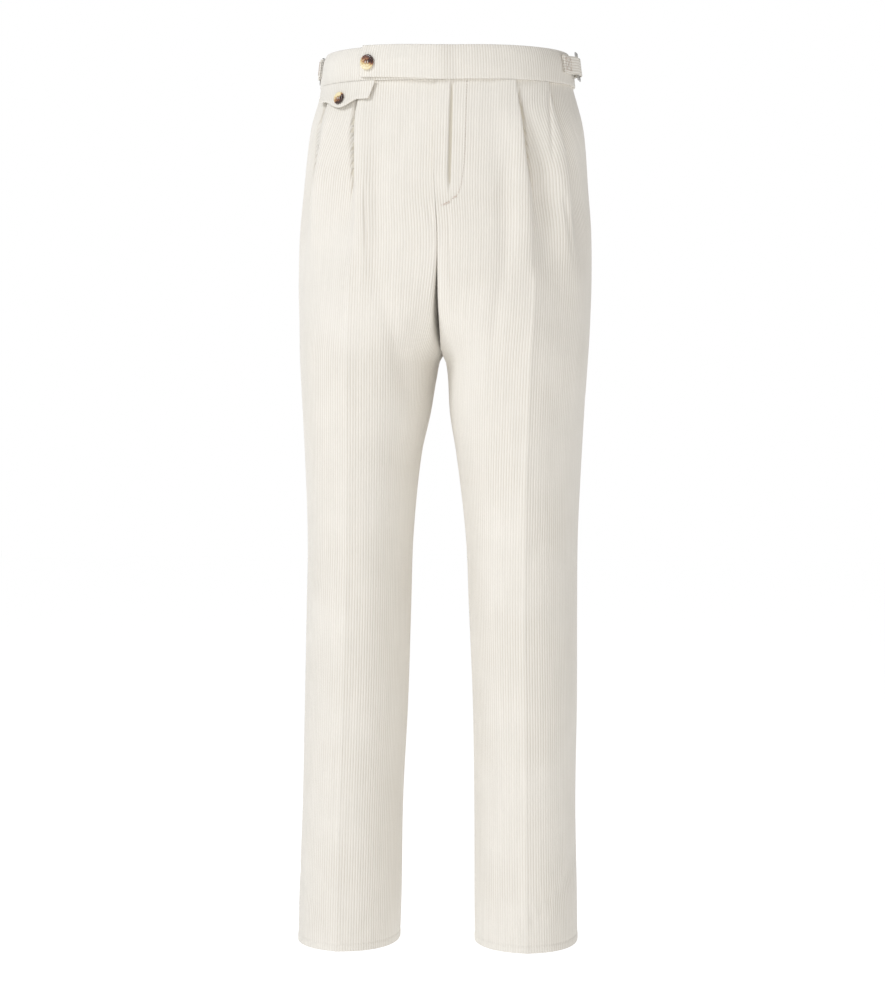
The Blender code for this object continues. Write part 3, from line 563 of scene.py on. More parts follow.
# %% Centre seam and cleft
SEAM_STRAY = 4.0                    # of the centre seam to the wearer's left, between fly and fork
STRAY_END = -335.0
CLEFT_TOP = -222.0                  # where the thighs begin to part at the front
CLEFT_BOTTOM = -338.0               # where it is widest
CLEFT_END = -396.0                  # where it has closed again
CLEFT_OPENING = {-1: 8.5, 1: 5.5}   # of each thigh's edge from the centre, at its widest


def settle_fork(points, height):
    """Below the fly the centre seam strays to one side, and a cleft opens between the thighs."""
    lean = section("lean", height)
    x, y = points[..., 0] - lean, points[..., 1]
    parted = min(max((CLEFT_TOP - height) / (CLEFT_TOP - CLEFT_BOTTOM), 0.0), 1.0)
    parted = parted ** 1.3 * float(ease((height - CLEFT_END) / 52.0))
    opening = np.where(x < 0, -CLEFT_OPENING[-1], CLEFT_OPENING[1]) * parted
    stray = SEAM_STRAY * float(ease((FLY_BOTTOM + 10.0 - height) / 80.0)
                               * ease((height - STRAY_END) / 120.0))
    moved = points.copy()
    moved[..., 0] += opening * ease((-y - 20.0) / 80.0) * np.exp(-(x / 30.0) ** 2)
    moved[..., 0] += stray * np.exp(-(x / 45.0) ** 2) * ease((-y - 40.0) / 50.0)
    return moved


edges = np.array([[section("lean", CLEFT_BOTTOM) + x, -100.0, 0.0] for x in (-HALF_GAP, HALF_GAP)])
apart = float(np.diff(settle_fork(edges, CLEFT_BOTTOM)[:, 0])[0])
print("the thighs are up to", round(apart, 1), "mm apart at the front")

# %% [markdown]
# ## The face of a back
# A back has no pleat. Its pressed crease starts below the seat, and its ribs follow that crease, so above
# it they run straight up and meet the slanting centre seam, as the cutter laid them.

# %% Back and seat
CORNER_LEAST = 16.0                 # of cloth between the inseam and the corner the crease is measured from
BACK_CREASE = 0.45                  # share of the way from that corner to the side seam
BACK_SEWN = 0.7                     # share of a seam's dip that is kept at the centre seam
UPRIGHT = -365.0                    # above it the ribs and the crease run straight up


# A row of a back: where its cloth starts, the length round the section, the place of the pressed crease, the
# distance out of the rib line that follows it, the length of cloth up to that line, and that of the row.
BackRow = collections.namedtuple("BackRow", "start total crease line_x line_cloth whole")


@functools.lru_cache(maxsize=None)
def back_layout(side, height):
    """Where a back's cloth, its crease and its ribs lie at a height."""
    x, _, _, length = half_section(side, height, False, -HALF_GAP)
    total = length[-1]
    start = 0.0 if height > CROTCH else HALF_GAP
    inner = section("inner_" + side_name(side), height)
    corner = CORNER_LEAST
    if height < FORK_TOP and inner <= HALF_GAP:
        corner = max(total - float(np.interp(-HALF_GAP - 0.2, -x, length)), CORNER_LEAST)
    crease = corner + (total - corner) * BACK_CREASE
    if height >= UPRIGHT:
        line_x = back_layout(side, UPRIGHT - 0.001).line_x
    else:
        line_x = float(np.interp(total - crease, length, x))
    line = total - distance_at(side, height, False, line_x, -HALF_GAP)
    if height >= UPRIGHT:
        crease = line
    return BackRow(start, total, crease, line_x, line - start, total - HALF_GAP - start)


def back_shape(side, height, s):
    """Points on the face of a back's cloth, without its ribs."""
    row = back_layout(side, height)
    section_x, _, _, length = half_section(side, height, False, -HALF_GAP)
    position = row.start + s
    x = np.interp(row.total - position, length, section_x)
    lift = soft_folds("back_" + side_name(side), height, x) + hem_line(height)
    lift = lift + pressed(position, row.crease, height, BACK_PRESS)
    sewn = BACK_SEWN * centre_dip(height) + inseam_dip(height)
    lift = lift + seam_dip(row.whole - s) + sewn * seam_dip(s)
    points = point_on_half(side, height, False, row.total - position, lift)
    return keep_to_side(points, side, height, HALF_GAP)


print("a back at the knee takes", round(back_layout(1, -550.0).whole, 1), "mm of cloth")

# %% [markdown]
# ## Corduroy
# Corduroy is a pile cloth. Extra weft floats are cut in lines, and stand up as soft ribs, the wales, with a
# shallow bare groove between them. Eight to the inch is a broad wale. The ribs run down the leg beside the
# pressed crease, and are lost in a seam wherever the shape cuts across them. So each rib keeps its own
# column of points from top to bottom, and a row takes only those that lie inside its own width.

# %% Ribs
WALE = 25.4 / 8
RIB_STEPS = 4                       # columns to a rib
RIB_PROFILE = (-1.0, 0.45, 1.0, 0.45)
RIB_RISE = 0.26                     # of the pile above and below the middle
RIB_STEP = WALE / RIB_STEPS
WEAR_ROWS = 6                       # rows between two places where a rib's wear is drawn by chance


def rib_heights(count, first, rows, seed):
    """Pile height by row and column. No two ribs of worn pile are quite as high all the way down."""
    wear = np.random.RandomState(seed)
    knots = wear.normal(1.0, 0.10, (rows // WEAR_ROWS + 3, count // RIB_STEPS + 2))
    at = np.arange(rows) / float(WEAR_ROWS)
    low = at.astype(int)
    share = (at - low)[:, None]
    height = knots[low] * (1 - share) + knots[low + 1] * share
    columns = np.arange(count) + first
    rib = (columns - first) // RIB_STEPS
    profile = np.array(RIB_PROFILE)[columns % RIB_STEPS]
    return RIB_RISE * height[:, rib] * profile[None, :]


print("a rib is", round(WALE, 3), "mm wide, in", RIB_STEPS, "columns", round(RIB_STEP, 3), "mm apart")

# %% [markdown]
# ## From points to a piece
# Every piece is a list of points and faces, turned into a mesh in metres. Blender's own solidify could give
# the cloth its thickness, but here the wall's inner skin needs only one column to a rib, and its faces take
# the plain wrong side. A map named cloth runs along the ribs, one unit to a rib, for the finish.

# %% Meshes and walls
FINISHES = {}


def make_mesh(name, points, faces, face_finish, uv, finishes, sharp=60.0):
    """A mesh in metres, with its cloth map in ribs, and faces turned outward."""
    mesh = bpy.data.meshes.new(name)
    mesh.from_pydata((np.asarray(points) * MM).tolist(), [], faces)
    mesh.update()
    if uv is not None:
        layer = mesh.uv_layers.new(name="cloth")
        corner = np.empty(len(mesh.loops), dtype=np.int32)
        mesh.loops.foreach_get("vertex_index", corner)
        layer.data.foreach_set("uv", np.asarray(uv, dtype=np.float32)[corner].ravel())
    for finish in finishes:
        mesh.materials.append(FINISHES[finish])
    mesh.polygons.foreach_set("material_index", np.asarray(face_finish, dtype=np.int32))
    bm = bmesh.new()
    bm.from_mesh(mesh)
    bmesh.ops.recalc_face_normals(bm, faces=bm.faces)
    bm.to_mesh(mesh)
    bm.free()
    mesh.shade_smooth()
    mesh.set_sharp_from_angle(angle=math.radians(sharp))
    mesh.update()
    return add_object(name, mesh)


def add_object(name, data):
    obj = bpy.data.objects.new(name, data)
    bpy.context.scene.collection.objects.link(obj)
    return obj


def triangle_count(obj):
    return sum(len(polygon.vertices) - 2 for polygon in obj.data.polygons)


class Wall:
    """Faces of a wall of cloth, whose finishes are 0 for the face and the edges and 1 for the lining."""

    def __init__(self):
        self.faces, self.finish_of = [], []

    def add(self, ring, finish=0):
        """A face without its repeated vertices, if at least three are left."""
        ring = list(dict.fromkeys(int(vertex) for vertex in ring))
        if len(ring) > 2:
            self.faces.append(ring)
            self.finish_of.append(finish)

    def build(self, name, points, uv, lining):
        obj = make_mesh(name, points, self.faces, self.finish_of, uv, ("corduroy", lining))
        print(name, "has", triangle_count(obj), "triangles")
        return obj


folded = Wall()
folded.add((0, 1, 1, 2))
print("a face that is folded on itself keeps its", len(folded.faces[0]), "corners")

# %% [markdown]
# ## A wall of ribbed cloth
# The four large pieces are closed walls. Each row of points runs along the cloth at one height. The columns
# are the ribs' own, so a rib is never cut into steps where a seam crosses it: past the row's edge its
# points join the one on the edge. The pile then stands out from the face, and lies down beside a seam.

# %% Panels
PILE_FADE = 1.2                     # width beside a seam in which the pile lies down
EDGE_CLEAR = 0.12                   # least distance of a rib's column from the row's edge
LOOK_ASIDE = 0.4                    # distance to both sides over which the cloth's slope is taken
WITHIN = CLOTH - 0.25               # depth of the wrong side under the face
CENTRE_CLEAR = 0.02                 # least distance from the centre line, below the fly
LAP_ROOM = -40.0                    # the same beside the fly, where one front laps over the other


def rib_columns(highs, anchor):
    """Numbers of the columns that hold every row, in whole ribs."""
    first = int(math.floor(-max(anchor) / RIB_STEP)) - 1
    first -= first % RIB_STEPS
    last = int(math.ceil(max(high - a for high, a in zip(highs, anchor)) / RIB_STEP)) + 1
    last += (-(last - first)) % RIB_STEPS
    return np.arange(first, last + 1)


def panel_wall(name, shape, side, heights, highs, anchor, facing, seed, settle=None):
    """A closed wall of ribbed cloth.

    shape gives points of the face at a height and lengths of cloth. Rib lines lie at fixed lengths from
    the anchor line, which is anchor[i] along row i; the row's cloth runs from 0 to highs[i].
    """
    rows = len(heights)
    columns = rib_columns(highs, anchor)
    count = len(columns)
    face, across = np.empty((rows, count, 3)), np.empty((rows, count, 3))
    lengths = np.empty((rows, count))
    for i, height in enumerate(heights):
        s = np.clip(columns * RIB_STEP + anchor[i], 0.0, highs[i])
        lengths[i] = s
        face[i] = shape(side, height, s)
        across[i] = (shape(side, height, np.minimum(s + LOOK_ASIDE, highs[i]))
                     - shape(side, height, np.maximum(s - LOOK_ASIDE, 0.0)))
    normal = np.cross(across, np.gradient(face, axis=0)) * facing
    normal /= np.maximum(np.linalg.norm(normal, axis=2), 1e-9)[:, :, None]
    ribs = rib_heights(count, columns[0], rows, seed)
    last = np.array(highs)[:, None] - EDGE_CLEAR
    fade = np.clip(np.minimum(lengths - EDGE_CLEAR, last - lengths) / PILE_FADE, 0.0, 1.0)
    skins = (face + normal * (ribs * fade)[:, :, None], face - normal * WITHIN)
    for skin in skins:
        for i, height in enumerate(heights):
            skin[i] = keep_to_side(skin[i], side, height, CENTRE_CLEAR if height < FLY_BOTTOM else LAP_ROOM)
            if settle:
                skin[i] = settle(skin[i], height)
    skins[1][0, :, 2] = skins[0][0, :, 2]
    points, uv = [], []

    def index_grid(grid, every):
        """Vertex numbers of a skin. Columns past the row's cloth share the vertex on its edge."""
        picked = np.arange(0, count, every)
        out = np.empty((rows, len(picked)), dtype=int)
        for i in range(rows):
            s = columns[picked] * RIB_STEP + anchor[i]
            left = int(np.searchsorted(s, EDGE_CLEAR))
            right = int(np.searchsorted(s, highs[i] - EDGE_CLEAR)) - 1
            for k, column in enumerate(picked):
                if 0 < k < left or k > right + 1:
                    out[i, k] = out[i, 0 if k < left else k - 1]
                    continue
                source = column if left <= k <= right else (0 if k < left else count - 1)
                out[i, k] = len(points)
                points.append(grid[i, source])
                uv.append(((lengths[i, source] - anchor[i]) / WALE, heights[i] / WALE))
        return out

    outside, within = index_grid(skins[0], 1), index_grid(skins[1], RIB_STEPS)
    wall = Wall()
    for finish, grid in enumerate((outside, within)):
        for upper, lower in zip(grid[:-1].tolist(), grid[1:].tolist()):
            for k in range(len(upper) - 1):
                if upper[k] != upper[k + 1] or lower[k] != lower[k + 1]:
                    wall.add((upper[k], upper[k + 1], lower[k + 1], lower[k]), finish)
    for i in range(rows - 1):
        for k in (0, -1):
            wall.add((outside[i, k], outside[i + 1, k], within[i + 1, k], within[i, k]))
    for i in (0, rows - 1):
        for k in range(within.shape[1] - 1):
            run = outside[i, k * RIB_STEPS:(k + 1) * RIB_STEPS + 1].tolist()
            wall.add(run + [within[i, k + 1], within[i, k]])
    return wall.build(name, points, uv, "wrong side")


print("the wall is", CLOTH, "mm thick, and its pile lies down over", PILE_FADE, "mm at a seam")

# %% [markdown]
# ## Nodes for a finish
# A finish is a few nodes wired into one shader. Small helpers keep each finish short: one sets constants on
# a node's own sockets, one wires two sockets, and the rest make the nodes that every finish here uses.

# %% Helpers for finishes
def shader_of(material):
    return next(node for node in material.node_tree.nodes if node.type == "BSDF_PRINCIPLED")


def new_finish(name, colour, roughness, metallic=0.0):
    material = bpy.data.materials.new(name)
    material.use_nodes = True
    set_inputs(shader_of(material), Base_Color=(*colour, 1.0), Roughness=roughness, Metallic=metallic)
    FINISHES[name] = material
    return material


def set_inputs(node, **values):
    """Constants on a node's own sockets. An underscore in a key stands for the space in the socket's name."""
    for key, value in values.items():
        node.inputs[key.replace("_", " ")].default_value = value


def add_node(material, kind, **settings):
    node = material.node_tree.nodes.new(kind)
    for key, value in settings.items():
        setattr(node, key, value)
    return node


def wire(material, source, target):
    material.node_tree.links.new(source, target)


def object_place(material):
    return add_node(material, "ShaderNodeTexCoord").outputs["Object"]


def along_cloth(material):
    """The map that follows the cloth: across in ribs, and down in the same unit."""
    return add_node(material, "ShaderNodeUVMap", uv_map="cloth").outputs["UV"]


def spread_out(material, value, **limits):
    """A value carried from one range to another, from 0 to 1 unless other limits are given."""
    node = add_node(material, "ShaderNodeMapRange")
    wire(material, value, node.inputs["Value"])
    set_inputs(node, **limits)
    return node.outputs[0]


def maths(material, operation, first, second=None):
    """A Math node on sockets or numbers."""
    node = add_node(material, "ShaderNodeMath", operation=operation)
    for socket, value in zip(node.inputs, (first, second)):
        if isinstance(value, (int, float)):
            socket.default_value = value
        elif value is not None:
            wire(material, value, socket)
    return node.outputs[0]


def tint_by(material, amount, low, high):
    """A colour between low and high by an amount from 0 to 1."""
    mix = add_node(material, "ShaderNodeMix", data_type="RGBA")
    wire(material, amount, mix.inputs["Factor"])
    for socket, colour in ((mix.inputs[6], low), (mix.inputs[7], high)):
        if isinstance(colour, tuple):
            socket.default_value = (*colour, 1.0)
        else:
            wire(material, colour, socket)
    return mix.outputs[2]


def noise(material, vector, scale, detail=3.0, roughness=0.55):
    node = add_node(material, "ShaderNodeTexNoise")
    wire(material, vector, node.inputs["Vector"])
    set_inputs(node, Scale=scale, Detail=detail, Roughness=roughness)
    return node.outputs["Fac"]


print("the key Base_Color stands for the socket", "Base_Color".replace("_", " "))

# %% [markdown]
# ## Finish of the corduroy
# Cotton pile scatters light softly and glows at grazing angles, so a sheen lies over a rough ivory base. The
# grooves are darker: partly the ground of the weave, partly painted shade in the recess between the ribs.
# The map that follows the cloth, one unit to a rib, places that groove colour. Beside it goes a streaky
# unevenness along each rib, and a fine fuzz for the pile.

# %% Corduroy
PILE = (0.762, 0.735, 0.681)
# Groove colour: the ground of the weave, darkened further as painted shade for the recess between ribs.
GROOVE_GROUND_AND_SHADE = (0.635, 0.59, 0.515)
WORN = (0.82, 0.79, 0.735)


def corduroy_finish():
    """Pile, paler where it is worn, over darker grooves: the ground's colour with painted shade in the
    recess.
    """
    cloth = new_finish("corduroy", PILE, 0.88)
    shader = shader_of(cloth)
    set_inputs(shader, Sheen_Weight=0.30, Sheen_Roughness=0.45, Sheen_Tint=(1.0, 0.97, 0.92, 1.0),
               Specular_IOR_Level=0.18)
    grain, place = along_cloth(cloth), object_place(cloth)
    parts = add_node(cloth, "ShaderNodeSeparateXYZ")
    wire(cloth, grain, parts.inputs[0])
    turn = maths(cloth, "COSINE", maths(cloth, "MULTIPLY", parts.outputs["X"], 2 * math.pi))
    # Mask of the grooves, where the ground colour and the painted shade go.
    groove_ground_and_shade_mask = maths(cloth, "POWER", maths(cloth, "MAXIMUM", turn, 0.0), 2.0)
    stretched = add_node(cloth, "ShaderNodeMapping")
    wire(cloth, grain, stretched.inputs["Vector"])
    set_inputs(stretched, Scale=(0.45, 0.02, 1.0))
    streak = noise(cloth, stretched.outputs[0], 1.6, 5.0, 0.62)
    lay = noise(cloth, place, 16.0, 3.0)
    worn = maths(cloth, "ADD", maths(cloth, "MULTIPLY", streak, 0.6), maths(cloth, "MULTIPLY", lay, 0.4))
    pile = tint_by(cloth, spread_out(cloth, worn, From_Min=0.36, From_Max=0.64), PILE, WORN)
    # How strongly the grooves' ground colour and painted shade show, varied at random.
    depth = spread_out(cloth, noise(cloth, place, 9.0, 2.0), From_Min=0.38, From_Max=0.62, To_Min=0.35,
                       To_Max=1.0)
    wire(cloth, tint_by(cloth, maths(cloth, "MULTIPLY", groove_ground_and_shade_mask, depth), pile, GROOVE_GROUND_AND_SHADE),
         shader.inputs["Base Color"])
    fuzz, tufts = noise(cloth, place, 1500.0, 2.0, 0.7), noise(cloth, place, 420.0, 2.0, 0.6)
    bump = add_node(cloth, "ShaderNodeBump")
    set_inputs(bump, Strength=0.5, Distance=0.0004)
    wire(cloth, maths(cloth, "ADD", fuzz, tufts), bump.inputs["Height"])
    wire(cloth, bump.outputs["Normal"], shader.inputs["Normal"])


corduroy_finish()
print("the corduroy has", len(FINISHES["corduroy"].node_tree.nodes), "nodes")

# %% [markdown]
# ## The wrong side
# Inside, the cloth shows the twill that holds the pile: flat, dull and a little darker. It is seen only at
# the open waist and hems, so a slanting wave between two near colours is enough.

# %% Wrong side
def wrong_side_finish():
    """The back of the cloth is a plain cotton twill."""
    cloth = new_finish("wrong side", (0.66, 0.62, 0.53), 0.92)
    shader = shader_of(cloth)
    set_inputs(shader, Specular_IOR_Level=0.12)
    weave = add_node(cloth, "ShaderNodeTexWave", wave_type="BANDS", bands_direction="DIAGONAL")
    wire(cloth, along_cloth(cloth), weave.inputs["Vector"])
    set_inputs(weave, Scale=1.6, Distortion=0.6)
    wire(cloth, tint_by(cloth, weave.outputs["Fac"], (0.60, 0.56, 0.47), (0.70, 0.66, 0.57)),
         shader.inputs["Base Color"])


wrong_side_finish()
print("finishes:", sorted(FINISHES))

# %% [markdown]
# ## Fronts
# A front is cut in one piece from waist to hem. Rows of points lie closer where the cloth turns: at the
# pleats, the fork and the hem. The wearer's left front is on top at the fly.

# %% The two fronts
FORK_ROWS = [-246.5, -250.5, CROTCH, -256.0]
HEM_ROWS = [-1034.0, -1037.5, -1039.6, -1041.0, -1042.4, -1044.0, -1046.5, -1048.6, HEM]
GRAIN_LEVEL = -160.0                # above it the ribs run from the centre edge, below it from the crease
SIDE_MEET = 0.1                     # by which each side edge comes closer to its neighbour


def cloth_heights(top, above_fork, below_fork):
    """Heights of a panel's rows: the top ones, then even runs of them, each given as begin, end and step."""
    above, below = (sum((np.arange(*run).tolist() for run in runs), []) for runs in (above_fork, below_fork))
    return top + above + FORK_ROWS + below + HEM_ROWS


FRONT_HEIGHTS = cloth_heights([PANEL_TOP, -22.5], ((-26.0, -156.0, -5.0), (-157.0, -246.0, -6.4)),
                              ((-263.0, -360.0, -8.0), (-368.0, -1030.0, -11.5)))


def front_cloth(side):
    rows = [front_layout(side, height) for height in FRONT_HEIGHTS]
    level = front_layout(side, GRAIN_LEVEL)
    crease_from_centre = level.crease_cloth - level.reach
    anchor = [row.reach if height > GRAIN_LEVEL else row.crease_cloth - crease_from_centre
              for height, row in zip(FRONT_HEIGHTS, rows)]
    return panel_wall("front_" + side_name(side) + "_cloth", front_shape, side, FRONT_HEIGHTS,
                      [row.whole + SIDE_MEET for row in rows], anchor, -side, 11 + side, settle_fork)


fronts = {side: front_cloth(side) for side in (-1, 1)}

# %% [markdown]
# ## Backs
# A back carries the seat and the back of the leg. Its ribs follow the back crease, so they meet the centre
# seam at a slant over the seat, as they do on any trousers cut with a seat angle.

# %% The two backs
BACK_HEIGHTS = cloth_heights([PANEL_TOP, -26.0], ((-34.0, -160.0, -9.0), (-166.0, -246.0, -7.5)),
                             ((-264.0, -360.0, -8.5), (-370.0, -1030.0, -12.5)))


def back_cloth(side):
    rows = [back_layout(side, height) for height in BACK_HEIGHTS]
    lengths, anchor = [row.whole + SIDE_MEET for row in rows], [row.line_cloth for row in rows]
    return panel_wall("back_" + side_name(side) + "_cloth", back_shape, side, BACK_HEIGHTS, lengths, anchor,
                      side, 21 + side)


backs = {side: back_cloth(side) for side in (-1, 1)}

# %% [markdown]
# ## Waistband
# The band is cut across from the legs' cloth but with its ribs upright too, stiffened, and folded at its
# top. The wearer's left half runs on past the centre as a long end, which lies on the right half and
# buttons there. Both are closed walls whose edges thin out to a rounded fold, and the button's pull leaves
# a drag along the end.

# %% Points round the waist
EDGE_LEAST = 0.22                   # share of a wall's thickness that is left at a folded edge


def half_waist(height=WAIST_SEAM):
    """Distance round from the centre front to the side seam, and on to the centre back."""
    return half_section(1, height, True, 0.0)[3][-1], half_section(1, height, False, -HALF_GAP)[3][-1]


def around_waist(height, position, lift):
    """A point by its distance round the waist seam from the centre front, positive to the wearer's left."""
    side = 1 if position >= 0 else -1
    front, back = half_waist(height)
    seam_front, seam_back = half_waist()
    from_seam = front - abs(position) * min(front / seam_front, 1.0)
    if from_seam >= 0:
        return point_on_half(side, height, True, np.array([from_seam]), lift, 0.0)[0]
    behind = (abs(position) - max(seam_front, front)) * min(back / seam_back, 1.0)
    return point_on_half(side, height, False, np.array([behind]), lift, 0.0)[0]


def edge_fullness(distance, wall):
    """Share of a wall's thickness left this far from its folded edge."""
    inside = 1.0 - min(max(distance, 0.0) / (wall / 2), 1.0)
    return max(math.sqrt(1.0 - inside * inside), EDGE_LEAST)


def pile_at(across, full, share=0.8):
    """Rise of the pile at a distance across the ribs. It lies down where the wall has thinned to its edge."""
    step = (across / WALE % 1.0) * RIB_STEPS
    rise = RIB_RISE * float(np.interp(step, range(RIB_STEPS + 1), RIB_PROFILE + RIB_PROFILE[:1]))
    return share * rise * (full if full > 0.5 else 0.0)


print("the waist is", round(2 * sum(half_waist()), 1), "mm round")

# %% [markdown]
# ## Walls over a plain grid
# Band, flap and straps are small and nearly flat, so a plain grid of places serves: each place gives a
# point of the face, one of the lining and its spot on the map. Where the grid runs past a rounded corner,
# its points fall together and are joined.

# %% Small walls
def cloth_wall(name, rows, columns, place, lining="wrong side"):
    """A closed wall over a grid, whose place(row, column) gives the outer and inner point and the map's.

    Neighbours at the same place in a row share a vertex.
    """
    grid = [[place(row, column) for column in columns] for row in rows]
    outer = np.array([[spot[0] for spot in line] for line in grid])
    height, width = outer.shape[:2]
    points, uv, number = [], [], np.empty((2, height, width), dtype=int)
    for skin in (0, 1):
        for i in range(height):
            for k in range(width):
                if k and np.abs(outer[i, k] - outer[i, k - 1]).max() < 1e-6:
                    number[skin, i, k] = number[skin, i, k - 1]
                else:
                    number[skin, i, k] = len(points)
                    points.append(grid[i][k][skin])
                    uv.append(grid[i][k][2])
    wall = Wall()
    face, back = number
    for i in range(height - 1):
        for k in range(width - 1):
            for skin in (0, 1):
                at = number[skin]
                wall.add((at[i, k], at[i, k + 1], at[i + 1, k + 1], at[i + 1, k]), skin)
    for i in (0, height - 1):
        for k in range(width - 1):
            wall.add((face[i, k], face[i, k + 1], back[i, k + 1], back[i, k]))
    for k in (0, width - 1):
        for i in range(height - 1):
            wall.add((face[i, k], face[i + 1, k], back[i + 1, k], back[i, k]))
    return wall.build(name, points, uv, lining)


print("a small wall keeps", EDGE_LEAST, "of its thickness at a folded edge")

# %% [markdown]
# ## The two halves of the band
# On the real band each half is a folded strip, sewn along its lower edge. The end of the left half is free,
# so all of its edges are folds. Drags from the button's pull and from sitting cross the band at a slant;
# they are rows in a table, as the soft folds of the legs are.

# %% Waistband halves
TAB_LENGTH = 94.0
TAB_CORNER = 5.0
TAB_RISE = 1.5
TAB_NARROWER = 2.5
SEWN_FULLNESS = 0.72                # of the band's wall at the waist seam, where it isn't free
SEWN_REACH = 1.3                    # by which its inner face comes in there, over the fronts' and backs' edge
COLUMN_CLEAR = 0.15                 # least distance of a rib's column from the band's ends
# Distance round from the centre front and height at both ends of a drag, half width and rise.
BAND_DRAGS = (
    (-73, 1.0, -20, 3.5, 2.4, 0.8),
    (-70, -6.5, -34, -8.0, 2.6, 0.35),
    (30, 7.0, 120, 3.0, 5.0, -0.6),
    (60, -9.0, 150, -4.0, 4.5, 0.5),
    (-300, 4.0, -210, -3.0, 6.0, -0.5),
    (230, 3.0, 330, -2.0, 6.0, -0.5),
)


def band_drags(position, height):
    """Height of the drags at a place on the band."""
    total = 0.0
    for x0, z0, x1, z1, half_width, rise in BAND_DRAGS:
        t = (position - x0) / (x1 - x0)
        if 0.0 < t < 1.0:
            away = (height - z0 - (z1 - z0) * t) / half_width
            total += rise * math.sin(math.pi * t) ** 0.7 * math.exp(-away * away)
    return total


def band_rows(wall):
    """Distances from the lower edge at which a band has points: close together where it rounds over."""
    near = [0.0, 0.12 * wall, 0.28 * wall, 0.5 * wall]
    body = list(np.linspace(0.5 * wall, BAND_HEIGHT - 0.5 * wall, 10)[1:-1])
    return near + body + [BAND_HEIGHT - value for value in reversed(near)]


def band_wall(name, positions, edges, lift_at, free_end=None):
    """Half a waistband. edges gives its lower and upper edge at a position, and lift_at its face."""
    def place(row, position):
        share = row / BAND_HEIGHT
        low, high = edges(position)
        height = low + (high - low) * share
        full = edge_fullness(min(row, BAND_HEIGHT - row), BAND_WALL)
        reach_in = SEWN_REACH * (1 - float(ease(row / 8.0)))
        if free_end is None or position > 0:
            full = max(full, SEWN_FULLNESS) if share < 0.5 else full
        elif position < 0:
            reach_in = 0.0
        if free_end is not None:
            full = min(full, edge_fullness(abs(position - free_end), BAND_WALL))
        swell = BAND_SWELL * math.sin(math.pi * share)
        middle = lift_at(position) - BAND_WALL / 2 + swell / 2 + band_drags(position, height)
        half = (BAND_WALL + swell) / 2 * full
        return (around_waist(height, position, middle + half + pile_at(position, full)),
                around_waist(height, position, middle - half - reach_in), (position / WALE, height / WALE))

    return cloth_wall(name, band_rows(BAND_WALL), positions, place)


def rib_positions(first, last, extra=()):
    """Places round the waist for each column of the ribs, with the ends and any extra ones."""
    inside = [k * RIB_STEP for k in range(math.ceil(first / RIB_STEP), math.floor(last / RIB_STEP) + 1)]
    inside = [value for value in inside if value - first > COLUMN_CLEAR and last - value > COLUMN_CLEAR]
    return sorted(set([first, last] + inside + list(extra)))


def right_band():
    return band_wall("waistband_right_cloth", rib_positions(-(sum(half_waist()) + SIDE_MEET), -HALF_GAP),
                     lambda position: (WAIST_SEAM + HALF_GAP, BAND_TOP), lambda position: BAND_PROUD)


def tab_edges(position):
    """Lower and upper edge of the left half. Its free end rises, and has a rounded lower corner."""
    share = min(max(-position / TAB_LENGTH, 0.0), 1.0)
    inside = max(TAB_CORNER - (TAB_LENGTH + position), 0.0)
    corner = TAB_CORNER - math.sqrt(TAB_CORNER ** 2 - inside ** 2)
    return (WAIST_SEAM + HALF_GAP + (TAB_RISE + TAB_NARROWER) * share + corner, BAND_TOP + TAB_RISE * share)


def tab_lift(position):
    """Height of the left half's face: it steps up past the centre, to lie over the right half."""
    over = SEAM_GAP + BAND_SWELL + BAND_WALL
    return BAND_PROUD + over * (1 - float(ease((position - 2.0) / 22.0)))


def left_band():
    end = [-TAB_LENGTH + step for step in (0.15, 0.4, 1.3, 2.2)]
    places = rib_positions(-TAB_LENGTH, sum(half_waist()) + SIDE_MEET, end)
    return band_wall("waistband_left_cloth", places, tab_edges, tab_lift, -TAB_LENGTH)


bands = {-1: right_band(), 1: left_band()}

# %% [markdown]
# ## Coin pocket flap
# The little flap closes a pocket in the waist seam. It is cut with a soft point, lined, turned and buttoned,
# so it lies clear of the front with a rounded edge all round.

# %% The flap
FLAP_HALF_TOP = 47.0
FLAP_HALF_BOTTOM = 41.0
FLAP_SIDE_DROP = 21.0
FLAP_POINT_DROP = 29.5
FLAP_BUTTON = -119.5
FLAP_OFF = 1.2
FLAP_TOP = PANEL_TOP - SEAM_GAP


def flap_bottom(share):
    """Lower edge at -1 to 1 across: square corners, a hollow each side and a soft point."""
    point = math.cos(min(abs(share) / 0.62, 1.0) * math.pi / 2) ** 1.5
    corner = 2.5 * max(0.0, (abs(share) - 0.92) / 0.08) ** 2
    return FLAP_TOP - FLAP_SIDE_DROP - (FLAP_POINT_DROP - FLAP_SIDE_DROP) * point + corner


def flap_place(level, offset):
    """Points of the flap at a level from its lower edge to its top, and a distance across."""
    half = FLAP_HALF_BOTTOM + (FLAP_HALF_TOP - FLAP_HALF_BOTTOM) * level
    across = min(max(offset, -half), half)
    bottom = flap_bottom(across / half)
    height = bottom + (FLAP_TOP - bottom) * level
    full = min(edge_fullness(height - bottom, CLOTH), edge_fullness(half - abs(across), CLOTH))
    lift = BAND_PROUD + FLAP_OFF - 0.6 * level + CLOTH / 2
    lift += 0.5 * math.exp(-((height - bottom - 3.0) / 2.5) ** 2)
    position = FLAP_BUTTON + across
    return (around_waist(height, position, lift + CLOTH / 2 * full + pile_at(position, full)),
            around_waist(height, position, lift - CLOTH / 2 * full), (position / WALE, height / WALE))


count = int(FLAP_HALF_TOP / RIB_STEP) + 1
flap = cloth_wall("coin_pocket_flap_cloth", (0.0, 0.02, 0.05, 0.1, 0.2, 0.32, 0.45, 0.6, 0.75, 0.88, 1.0),
                  [k * RIB_STEP for k in range(-count, count + 1)], flap_place)

# %% [markdown]
# ## Buttons
# Each button is turned from a blank that looks like tortoiseshell: a sunk face inside a raised rim, four
# holes and two bars of thread. Turning a half profile gives the body. The holes are pressed into the fine
# rings of the sunk face, so nothing has to be cut.

